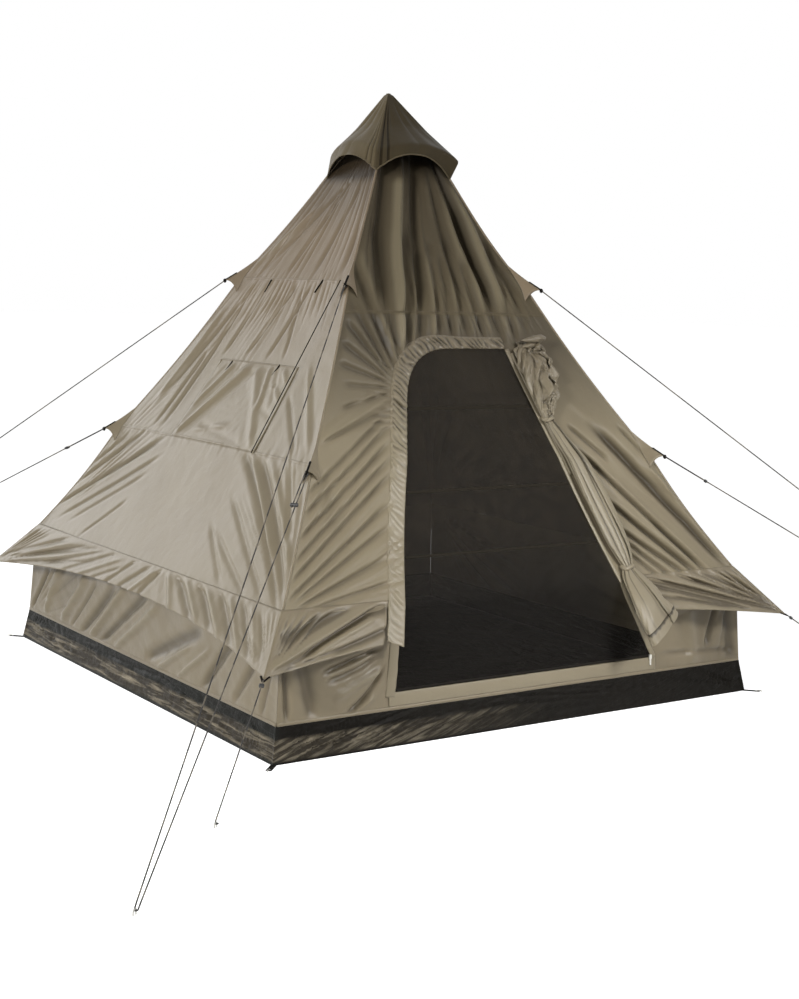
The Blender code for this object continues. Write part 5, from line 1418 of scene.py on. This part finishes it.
def makeBand():
    foot = (doorway["eaveLeft"] + doorLean * (band["foot"] - eaveHeight), band["foot"])
    path = [foot, (doorway["eaveLeft"], eaveHeight)] + [tuple(point) for point in archPoints(24)]
    path += [(doorway["headRight"] - 0.004, doorway["top"])]
    line, along = resample(path, band["step"])
    normals = leftNormals(line)
    turned = smooth(1.25, 1.47, line[:, 1]) * smooth(-0.3, 0.1, line[:, 0])
    width = band["side"] + (band["top"] - band["side"]) * turned
    gathered = 0.16 + 0.84 * smooth(0.9, 1.14, line[:, 1])  # it is smoother down its left side
    rows, hollows = [], []
    for share in np.linspace(0, 1, band["columns"]):
        across, height = (line + normals * (width * share - band["lap"])[:, None]).T
        slant = 0.77 * across + 0.64 * height / roofFacing
        wave = slant / band["puckerPitch"] + 0.9 * noise(slant / 0.07, share * 0.8, 700)
        gather = 0.55 * np.abs(np.sin(math.pi * wave)) + 0.25 * np.sin(2 * math.pi * wave) - 0.35
        gather = gather * (1.1 + 1.3 * noise(slant / 0.06, share * 1.2, 702))
        fine = noise(slant / (band["puckerPitch"] * 0.5), share * 2.0, 701)
        fullness = max(0.0, math.sin(math.pi * share)) ** 0.5
        smoothOut, foldedOut = (roofOut("front", across, height, detail) for detail in (0.0, 1.0))
        onCloth = smooth(0.55, 1.0, share)
        out = smoothOut * (1 - onCloth) + foldedOut * onCloth
        raised = band["pucker"] * (gather + 0.3 * fine) * (0.3 + 0.7 * fullness)
        lift = band["lift"] + gathered * (band["puff"] * fullness + raised)
        rows.append(place("front", across, roofHalf(height) + out + lift, height))
        # painted shade in the puckers' hollows, deeper where the band is full
        deep = np.clip(-2.4 * gathered * (gather + 0.2 * fine) - 0.05, 0, 1)
        hollows.append(deep * (0.4 + 0.6 * fullness))
    settings = {"replaces": ("door_band",), "hollow": np.array(hollows)}
    piece = gridPiece("doorBand", np.array(rows), bandCloth, thick=0.0009, **settings)
    edge = line + normals * (width - 0.006)[:, None]
    strip("doorBandSeam", "front", edge, 0.01, 0.0022, material=bandCloth, step=0.006)


def makeDoorEdges():
    # cloth strips along the net door's right edge, the post on its left under the eave, and the sill
    top, sill, head = doorway["top"], doorway["sill"], doorway["headRight"]
    left, right = doorway["footLeft"], doorway["footRight"]
    post, welt = doorway["eaveLeft"] - 0.022, doorway["eaveRight"] + 0.012
    foldEnd, foldRight = 0.96, float(doorRight(0.96))
    edges = (
        # name, one end, the other, width, how far it stands up, surface
        ("doorRightWelt", (head + 0.01, top - 0.004), (welt, eaveHeight), 0.024, 0.0035, "roof"),
        ("doorRightFold1", (head + 0.03, top - 0.02), (foldRight + 0.027, foldEnd), 0.016, 0.007, "roof"),
        ("doorRightFold2", (head + 0.05, top - 0.02), (foldRight + 0.045, foldEnd), 0.016, 0.011, "roof"),
        ("doorRightWeltLow", (welt, eaveHeight), (right + 0.012, sill - 0.004), 0.024, 0.0035, "wall"),
        ("doorPost", (left - 0.022, sill - 0.02), (post, eaveHeight - 0.004), 0.046, 0.0035, "wall"),
        ("doorSill", (left - 0.03, sill - 0.03), (right + 0.02, sill - 0.03), 0.056, 0.003, "wall"),
    )
    for name, start, end, width, lift, surface in edges:
        strip(name, "front", [start, end], width, lift, material=bandCloth, surface=surface)
    tape = doorOutline(0.004)
    settings = {"material": small["zipTape"], "surface": "wall", "slot": "black_mesh"}
    strip("zipTapeSill", "front", [tape[0], tape[-1]], 0.012, 0.0045, **settings)


netDoor = {
    "behind": 0.004,
    "ripples": ((0.0032, 0.3, 0.22), (0.00144, 0.09, 0.13)),  # height, and size across and up
    "rows": 82, "columns": 84,
    "seams": ((1.235, 0.012), (0.922, 0.01), (0.69, 0.008)),  # height and width
    "blendWidth": 0.118,
}


def netDepth(across, height):
    depth = np.where(height >= eaveHeight, roofHalf(height), wallHalf(height)) - netDoor["behind"]
    for number, (tall, wide, high) in enumerate(netDoor["ripples"]):
        depth = depth + tall * noise(across / wide, height / high, 720 + number)
    return depth + roofOut("front", across, height, 0.0)


def makeNetDoor():
    outline = doorOutline(0.003)
    low, high = outline.min(axis=0) - 0.01, outline.max(axis=0) + 0.01
    heights = np.linspace(low[1], high[1], netDoor["rows"])
    columns = np.linspace(low[0], high[0], netDoor["columns"])
    height, across = np.meshgrid(heights, columns, indexing="ij")
    across, height, cells = trimGrid(across, height, outline, keepInside=True)
    points = place("front", across, netDepth(across, height), height)
    settings = {"body": None, "slot": "black_mesh"}
    piece = gridPiece("netDoor", points, net, thick=0, cells=cells, replaces=("mesh_door",), **settings)
    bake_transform(piece)
    settings.update(material=small["nylonNetTape"], surface="net")
    for number, (height, width) in enumerate(netDoor["seams"], 1):
        ends = [(doorLeft(height) + 0.008, height), (doorRight(height) - 0.006, height)]
        seam = strip(f"netSeam{number}", "front", ends, width, 0.0004, **settings)
        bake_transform(seam)


# Outer door flap: gathered like a scroll and tied at two places; each station is where its middle lies
flap = {
    "stations": (
        # across, height, width, tilt in degrees, depth
        (0.385, 1.5, 0.12, 0, 0.02),
        (0.376, 1.462, 0.19, 0, 0.042),
        (0.384, 1.385, 0.2, 0, 0.058),
        (0.38, 1.3, 0.165, 0, 0.054),
        (0.37, 1.235, 0.11, 0, 0.04),
        (0.366, 1.185, 0.052, 0, 0.026),
        (0.396, 1.11, 0.085, 0, 0.038),
        (0.44, 1.01, 0.12, 0, 0.046),
        (0.474, 0.89, 0.142, 0, 0.048),
        (0.502, 0.77, 0.142, 0, 0.048),
        (0.52, 0.68, 0.132, 0, 0.044),
        (0.53, 0.63, 0.1, 0, 0.036),
        (0.535, 0.592, 0.056, 0, 0.026),
        (0.533, 0.55, 0.132, 8, 0.036),
        (0.54, 0.495, 0.182, 17, 0.046),
        (0.552, 0.43, 0.215, 25, 0.054),
        (0.578, 0.37, 0.25, 30, 0.05),
        (0.585, 0.345, 0.256, 31, 0.044),
    ),
    "ties": (5, 12),
    "wound": (205, 2.6),  # degrees where the scroll's inner end lies, and its turns
    "core": 0.3,  # radius of that end, as a share of the outer
    "crushed": (4.2, 5.4),  # above the upper tie the cloth is crushed, and below the lower one it opens
    "opens": (12.0, 15.0), "rows": 190, "columns": 230, "hemRows": 15,
    "hemFrom": 0.6,  # of the scroll
    "tie": 0.005,
}


def flapOut(height):
    # it passes over the skirt's top where it leaves the roof
    return 0.028 * smooth(0.0, 1.0, np.clip((skirt["top"] + 0.011 - height) / 0.12, 0, 1))


def flapBase(across, height):
    # the cloth's surface under the flap
    return roofHalf(height) + roofOut("front", across, height, 0.0) + 0.003 + flapOut(height)


def makeFlap():
    stations = np.array(flap["stations"], float)
    along = np.linspace(0, len(stations) - 1, flap["rows"])
    index = np.arange(len(stations))
    kernel = np.array((1, 2, 3, 4, 3, 2, 1)) / 16
    values = [np.interp(along, index, stations[:, column]) for column in range(5)]
    values = [np.convolve(np.pad(value, 3, mode="edge"), kernel, mode="valid") for value in values]
    x, z, width, tilt, depth = (value[:, None] for value in values)
    tilt = np.radians(tilt)
    along = along[:, None]
    share = np.linspace(0, 1, flap["columns"])[None, :]
    start, turns = flap["wound"]
    turn = math.radians(start) + 2 * math.pi * turns * share
    size = flap["core"] + (1 - flap["core"]) * share
    cosine, sine = np.cos(turn), np.sin(turn)
    crushed = 1 - smooth(*flap["crushed"], along)
    opened = smooth(*flap["opens"], along)
    longFold = 3.4 * cosine + 2.0 * sine + 1.2 * noise(cosine + 2, along * 0.3, 730)
    longFold = np.abs(np.sin(longFold)) ** 0.7 - 0.66
    fineFold = np.abs(noise(cosine * 3.6 + 7, sine * 3.6 + along * 0.3, 731)) * 2.2 - 0.6
    lump = 1.5 * noise(cosine * 1.1 + 4, along * 0.6 + sine * 0.8, 732)
    facet = crumple(cosine * 1.3 + along * 0.45, sine * 1.3 + along * 0.85, 1.0, 733)
    nearTie = sum(np.exp(-(((along - tie) / 0.8) ** 2)) for tie in flap["ties"])
    pinch = nearTie * (np.abs(np.sin(turn * 3.5 + along * 0.7)) - 0.5)
    swell = 0.94 + 0.3 * longFold * (1 - crushed) * (1 - 0.72 * opened)
    swell = swell + 0.07 * fineFold * (1 - 0.6 * opened) + 0.16 * pinch
    swell = swell + crushed * (0.1 * lump + 0.55 * facet) + opened * (0.08 * lump + 0.16 * facet)
    half = width / 2 * size * swell
    across = x + half * cosine * np.cos(tilt)
    height = z + half * cosine * np.sin(tilt) + crushed * 0.01 * noise(cosine * 2 + along, sine * 2, 734)
    base = flapBase(across, height)
    ripple = crushed * np.maximum(sine, 0) * (0.004 * lump + 0.06 * facet)
    out = base + depth / 2 + depth / 2 * size * swell * sine + ripple
    points = place("front", across, np.maximum(out, base), height)[::-1]
    # painted shade in the long folds' valleys, in the crushed facets and at the pinches by the ties
    longDeep = np.clip(-2.6 * longFold * (1 - crushed) - 0.3, 0, 1) * (1 - 0.6 * opened)
    facetDeep = crushed * 0.9 * np.clip(-4.0 * facet - 0.2, 0, 1)
    pinchDeep = 0.7 * np.clip(-2.0 * pinch - 0.2, 0, 1)
    deep = np.clip(longDeep + facetDeep + pinchDeep, 0, 1)[::-1]
    settings = {"replaces": ("door_flap_tied_back",), "hollow": deep}
    piece = gridPiece("doorFlapTiedBack", points, bandCloth, thick=0.0006, **settings)
    makeFlapHem(points[: flap["hemRows"]])
    for number, row in enumerate(flap["ties"], 1):
        makeFlapTie(number, *stations[row])


def makeFlapHem(low):
    # hem band: a second layer round the free lower edge
    away = low - low.mean(axis=1, keepdims=True)
    away /= np.maximum(np.linalg.norm(away, axis=2, keepdims=True), 1e-6)
    hem = low + away * 0.0026
    hem[-1] = low[-1] + away[-1] * 0.0004
    outer = hem[:, int(flap["columns"] * flap["hemFrom"]) :]
    tucks = np.abs(np.sin(np.arange(outer.shape[1]) * 0.55)) ** 6
    share = np.linspace(0, 1, len(low))[:, None]
    # painted shade near the hem's lower edge and in its tucks, and painted highlight on the rest of the hem
    hemShade = smooth(0.82, 0.95, share) + 0.5 * tucks[None, :] * smooth(0.35, 0.8, share)
    gridPiece("doorFlapHem", outer, bandCloth, thick=0.0008, hollow=hemShade - 0.4 * (share < 0.8))


def makeFlapTie(number, across, height, width, _, depth):
    # a flat band round the flap's waist
    ring = []
    for angle in 2 * math.pi * np.arange(40) / 40:
        spot = across + width * 0.55 * math.cos(angle)
        level = height + 0.005 * math.sin(2 * angle)
        out = flapBase(spot, level) + depth * (0.52 + 0.58 * math.sin(angle))
        ring.append(place("front", spot, out, level))
    tubePiece(f"flapTie{number}", ring, flap["tie"], bandCloth, closed=True, flatness=1.8)


# Tie at the flap's top: a long leaf of rolled cloth, a shorter one below it and a knot
tieRoll = {
    "lobes": (
        # name, left, right, height over the box's middle, thickness, forward, fullest place
        ("doorTieRoll", -0.066, 0.068, 0.008, 0.036, 0.008, 0.62),
        ("doorTieRollLower", -0.06, 0.018, -0.02, 0.026, 0.004, 0.55),
        ("doorTieKnot", 0.006, 0.034, -0.024, 0.036, 0.012, 0.5),
    ),
    "rows": 44, "columns": 36,
}


def makeTieRoll():
    low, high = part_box("door_tie_roll")
    middle = [(low[axis] + high[axis]) / 2 for axis in range(3)]
    angle = 2 * math.pi * np.arange(tieRoll["columns"]) / tieRoll["columns"]
    for number, (name, left, right, up, thick, forward, fullest) in enumerate(tieRoll["lobes"]):
        rows = []
        for share in np.linspace(0, 1, tieRoll["rows"]):
            bent = share ** (math.log(0.5) / math.log(fullest))
            reach = thick / 2 * (0.1 + 0.9 * max(0.0, math.sin(math.pi * bent)) ** 0.62)
            lumps = 1 + 0.16 * noise(np.cos(angle) * 1.4 + share * 3, np.sin(angle) * 1.4 + number, 740)
            dents = np.abs(noise(share * 5 + np.cos(angle), np.sin(angle) * 2.0 + number, 741))
            lumps = lumps - 0.2 * dents
            x = np.full_like(angle, middle[0] + left + (right - left) * share)
            y = middle[1] - forward - reach * lumps * np.cos(angle)
            z = middle[2] + up + reach * lumps * np.sin(angle) - 0.005 * math.cos(math.pi * share)
            rows.append(np.stack((x, y, z), axis=-1))
        replaced = ("door_tie_roll",) if number == 0 else ()
        gridPiece(name, np.array(rows), bandCloth, thick=0, closed=True, replaces=replaced)


makeBand()
makeDoorEdges()
makeNetDoor()
makeFlap()
makeTieRoll()
print("doorway done")


# Window: a flap of cloth that lifts at its top, over a net in the opening
window = {
    "rows": 44, "columns": 86,
    "detail": 0.35,  # how much of the roof's folds it takes on
    "lift": 0.0035, "netBehind": 0.014,
    "tabs": ((-0.192, 1.735, 0.055), (0.229, 1.742, 0.055), (-0.196, 1.376, 0.045), (0.204, 1.383, 0.045)),
    "tabLean": 0.018, "crumple": (0.0035, 0.06),
    "creases": [
        (-0.01, 1.38, -0.34, 1.05, 0.024, 0.013, 0.016), (-0.08, 1.38, -0.35, 1.08, 0.01, 0.009, -0.01),
        (-0.15, 1.38, -0.36, 1.13, 0.016, 0.012, 0.01), (-0.21, 1.37, -0.35, 1.18, 0.01, 0.009, -0.008),
        (0.05, 1.36, -0.27, 1.05, 0.012, 0.01, -0.009), (0.03, 1.37, 0.33, 1.06, 0.03, 0.016, 0.01),
        (0.14, 1.38, 0.22, 1.2, 0.014, 0.012, 0.009), (0.2, 1.38, 0.3, 1.24, 0.01, 0.01, -0.008),
        (0.24, 1.3, 0.35, 1.25, 0.01, 0.009, 0.008), (0.22, 1.21, 0.35, 1.18, 0.012, 0.01, -0.008),
        (0.26, 1.37, 0.33, 1.32, 0.009, 0.009, 0.008), (-0.16, 1.11, 0.2, 1.06, 0.014, 0.012, -0.007),
        (-0.2, 1.08, 0.05, 1.12, 0.01, 0.012, 0.006),
    ],
}


def makeWindow():
    outline = windowOutline(0.0)
    heights = np.linspace(outline[0][1], outline[2][1], window["rows"])
    height, share = np.meshgrid(heights, np.linspace(0, 1, window["columns"]), indexing="ij")
    up = (height - heights[0]) / (heights[-1] - heights[0])
    left = outline[0][0] + (outline[3][0] - outline[0][0]) * up
    right = outline[1][0] + (outline[2][0] - outline[1][0]) * up
    across = left + (right - left) * share
    out = roofOut("left", across, height, window["detail"]) + window["lift"]
    sewn = smooth(0.86, 1.0, up)
    out = out * (1 - sewn) + (roofOut("left", across, height) + 0.0009) * sewn
    tall, size = window["crumple"]
    folds = creaseOut(across, height, window["creases"]) + tall * crumple(across, height, size, 755)
    held = smooth(0, 0.08, up) * (1 - smooth(0.9, 1.0, up))
    held = held * smooth(0, 0.05, share) * (1 - smooth(0.95, 1.0, share))
    points = place("left", across, roofHalf(height) + out + np.maximum(folds, -0.003) * held, height)
    piece = gridPiece("windowFlap", points, cloth, body="window_flap", replaces=("window_flap",))
    depth = roofHalf(height) + roofOut("left", across, height, 0.0) - window["netBehind"]
    points = place("left", across, depth, height)
    netPiece = gridPiece("windowNet", points, net, thick=0, slot="black_mesh", replaces=("window_net",))
    hem = windowOutline(0.006)[[3, 0, 1, 2]]
    strip("windowFlapHem", "left", hem, 0.012, 0.0044, body="window_flap")
    strip("windowTopSeam", "left", outline[[3, 2]] - (0.0, 0.003), 0.004, 0.002)
    settings = {"material": small["wovenNylonWebbing"], "slot": "dark_cord"}
    for number, (across, height, length) in enumerate(window["tabs"], 1):
        path = [(across, height), (across - window["tabLean"], height - length)]
        strip(f"windowTab{number}", "left", path, 0.009, 0.0045, **settings)


makeWindow()
print("window done")


# Carried-over solids keep their shape and get a finish
def dressNodes():
    finishes = {
        "guy_line": cordFibre,
        "eave_line": cordFibre,
        "window_tie": small["wovenNylonWebbing"],
        "runner": small["mouldedNylonRunner"],
        "eave_runner": small["mouldedNylonRunner"],
        "far_peg": small["galvanisedSteel"],
        "near_peg": small["galvanisedSteel"],
        "corner_peg": small["galvanisedSteel"],
        "pole_foot": small["mouldedRubber"],
        "pole": small["galvanisedSteel"],
        "zip_slider": small["castZincSlider"],
    }
    for name, node in nodes.items():
        best = max((key for key in finishes if name.startswith(key)), key=len, default=None)
        if best:
            node.data.materials.clear()
            node.data.materials.append(finishes[best])


dressNodes()
print("solids dressed")


# Black webbing straps and knots between the cloth's tips and the lines
webbing = {
    "strap": 0.0045,
    "strapShares": (0.66, 0.78, 0.9, 1.0),  # where along the beak's ridge the strap lies
    "strapPast": (0.006, -0.004),  # how far past the tip it ends, out and up
    "knot": 0.004, "knotSteps": 12, "slot": "dark_cord",
}


def makeTipLoops():
    woven = small["wovenNylonWebbing"]
    for corner in corners:
        for number, tipHeight in enumerate(beak["heights"], 1):
            root, tip, tipOut = beakRidge(corner, tipHeight)
            path = []
            for share in webbing["strapShares"]:
                sag = overCorner(corner, 0.001 - beak["sag"] * math.sin(math.pi * share), 0.001)
                path.append(root.lerp(tip, share) + sag)
            past, up = webbing["strapPast"]
            path.append(overCorner(corner, tipOut + past, tipHeight + up))
            settings = {"slot": webbing["slot"], "flatness": 0.5}
            tubePiece(f"tipStrap{number}_{corner}", path, webbing["strap"], woven, **settings)
            knot = []
            for angle in 2 * math.pi * np.arange(webbing["knotSteps"]) / webbing["knotSteps"]:
                out, up = tipOut + 0.004 * math.cos(angle), tipHeight - 0.003 + 0.006 * math.sin(angle)
                knot.append(overCorner(corner, out, up, 0.004 * math.sin(2 * angle)))
            settings = {"slot": webbing["slot"], "closed": True}
            tubePiece(f"tipKnot{number}_{corner}", knot, webbing["knot"], woven, **settings)
        reach = float(skirtShape(1.0, 1.0)[0]) * diagonal
        for hand, name in ((-1, "A"), (1, "B")):
            start = overCorner(corner, reach - 0.022, skirt["tipHeight"] + 0.005, hand * 0.016)
            end = overCorner(corner, reach + 0.008, skirt["tipHeight"] - 0.007, hand * 0.001)
            path = [start.lerp(end, share) for share in np.linspace(0, 1, 5)]
            settings = {"slot": webbing["slot"], "flatness": 0.6}
            tubePiece(f"skirtStrap{name}_{corner}", path, webbing["strap"], woven, **settings)


makeTipLoops()
print("webbing done")


# Floor, world and lamps
studio = {
    "lamps": (
        # name, place, aim, size, power, spread in degrees
        ("keyLamp", (-8.6, -3.6, 4.2), (0, 0, 1.0), 1.6, 560, 180),
        ("sheenLamp", (-2.8, 6.4, 2.9), (-0.8, 0, 0.8), 3.6, 110, 180),
        ("frontLamp", (2.0, -5.2, 3.6), (-0.2, -0.8, 0.5), 1.4, 20, 50),
        ("insideLamp", (0.12, 0.1, 1.45), (0.4, 0.6, 0.0), 0.2, 0.9, 180),
    ),
    "worldStrength": 0.22, "floorColour": "#f1f1f1", "floorGlow": 0.78, "floorHalf": 60,
    "floorDrop": 0.0005,
}


def addLamp(name, where, aim, size, power, spread):
    data = bpy.data.lights.new(name, "AREA")
    data.shape = "DISK"
    data.size = size
    data.energy = power
    data.spread = math.radians(spread)
    lamp = bpy.data.objects.new(name, data)
    lamp.location = where
    lamp.rotation_euler = (Vector(aim) - Vector(where)).to_track_quat("-Z", "Y").to_euler()
    scene.collection.objects.link(lamp)


def seenBy(tree, kinds):
    # 1 for rays of these kinds, 0 for all others
    path = addNode(tree, "ShaderNodeLightPath")
    seen = path.outputs[kinds[0]]
    for kind in kinds[1:]:
        links = {0: seen, 1: path.outputs[kind]}
        seen = addNode(tree, "ShaderNodeMath", {"operation": "MAXIMUM"}, links).outputs[0]
    return seen


def addWorld():
    # the eye sees pure white; the light that falls on the tent from it is weaker
    scene.world = bpy.data.worlds.new("whiteRoom")
    scene.world.use_nodes = True
    tree = scene.world.node_tree
    tree.nodes.clear()
    links = {0: seenBy(tree, ("Is Camera Ray", "Is Transmission Ray", "Is Glossy Ray"))}
    for key, strength in ((1, studio["worldStrength"]), (2, 1.0)):
        settings = {"Color": linear("#ffffff"), "Strength": strength}
        links[key] = addNode(tree, "ShaderNodeBackground", settings).outputs[0]
    both = addNode(tree, "ShaderNodeMixShader", {}, links)
    addNode(tree, "ShaderNodeOutputWorld", {}, {"Surface": both.outputs[0]})


def addFloor():
    settings = {
        "Base Color": linear(studio["floorColour"]),
        "Roughness": 0.9,
        "Emission Color": linear("#ffffff"),
    }
    material, tree, shader = newMaterial("paleFloor", settings)
    seen = seenBy(tree, ("Is Camera Ray", "Is Glossy Ray"))
    glow = addNode(tree, "ShaderNodeMath", {"operation": "MULTIPLY", 1: studio["floorGlow"]}, {0: seen})
    tree.links.new(glow.outputs[0], shader.inputs["Emission Strength"])
    mesh = bpy.data.meshes.new("floor")
    half = studio["floorHalf"]
    spots = [(-half, -half, 0), (half, -half, 0), (half, half, 0), (-half, half, 0)]
    mesh.from_pydata(spots, [], [(0, 1, 2, 3)])
    mesh.materials.append(material)
    floor = bpy.data.objects.new("floor", mesh)
    floor.location.z = -studio["floorDrop"]
    scene.collection.objects.link(floor)


addWorld()
addFloor()
for lamp in studio["lamps"]:
    addLamp(*lamp)
scene.view_settings.view_transform = "Standard"
print("studio done")
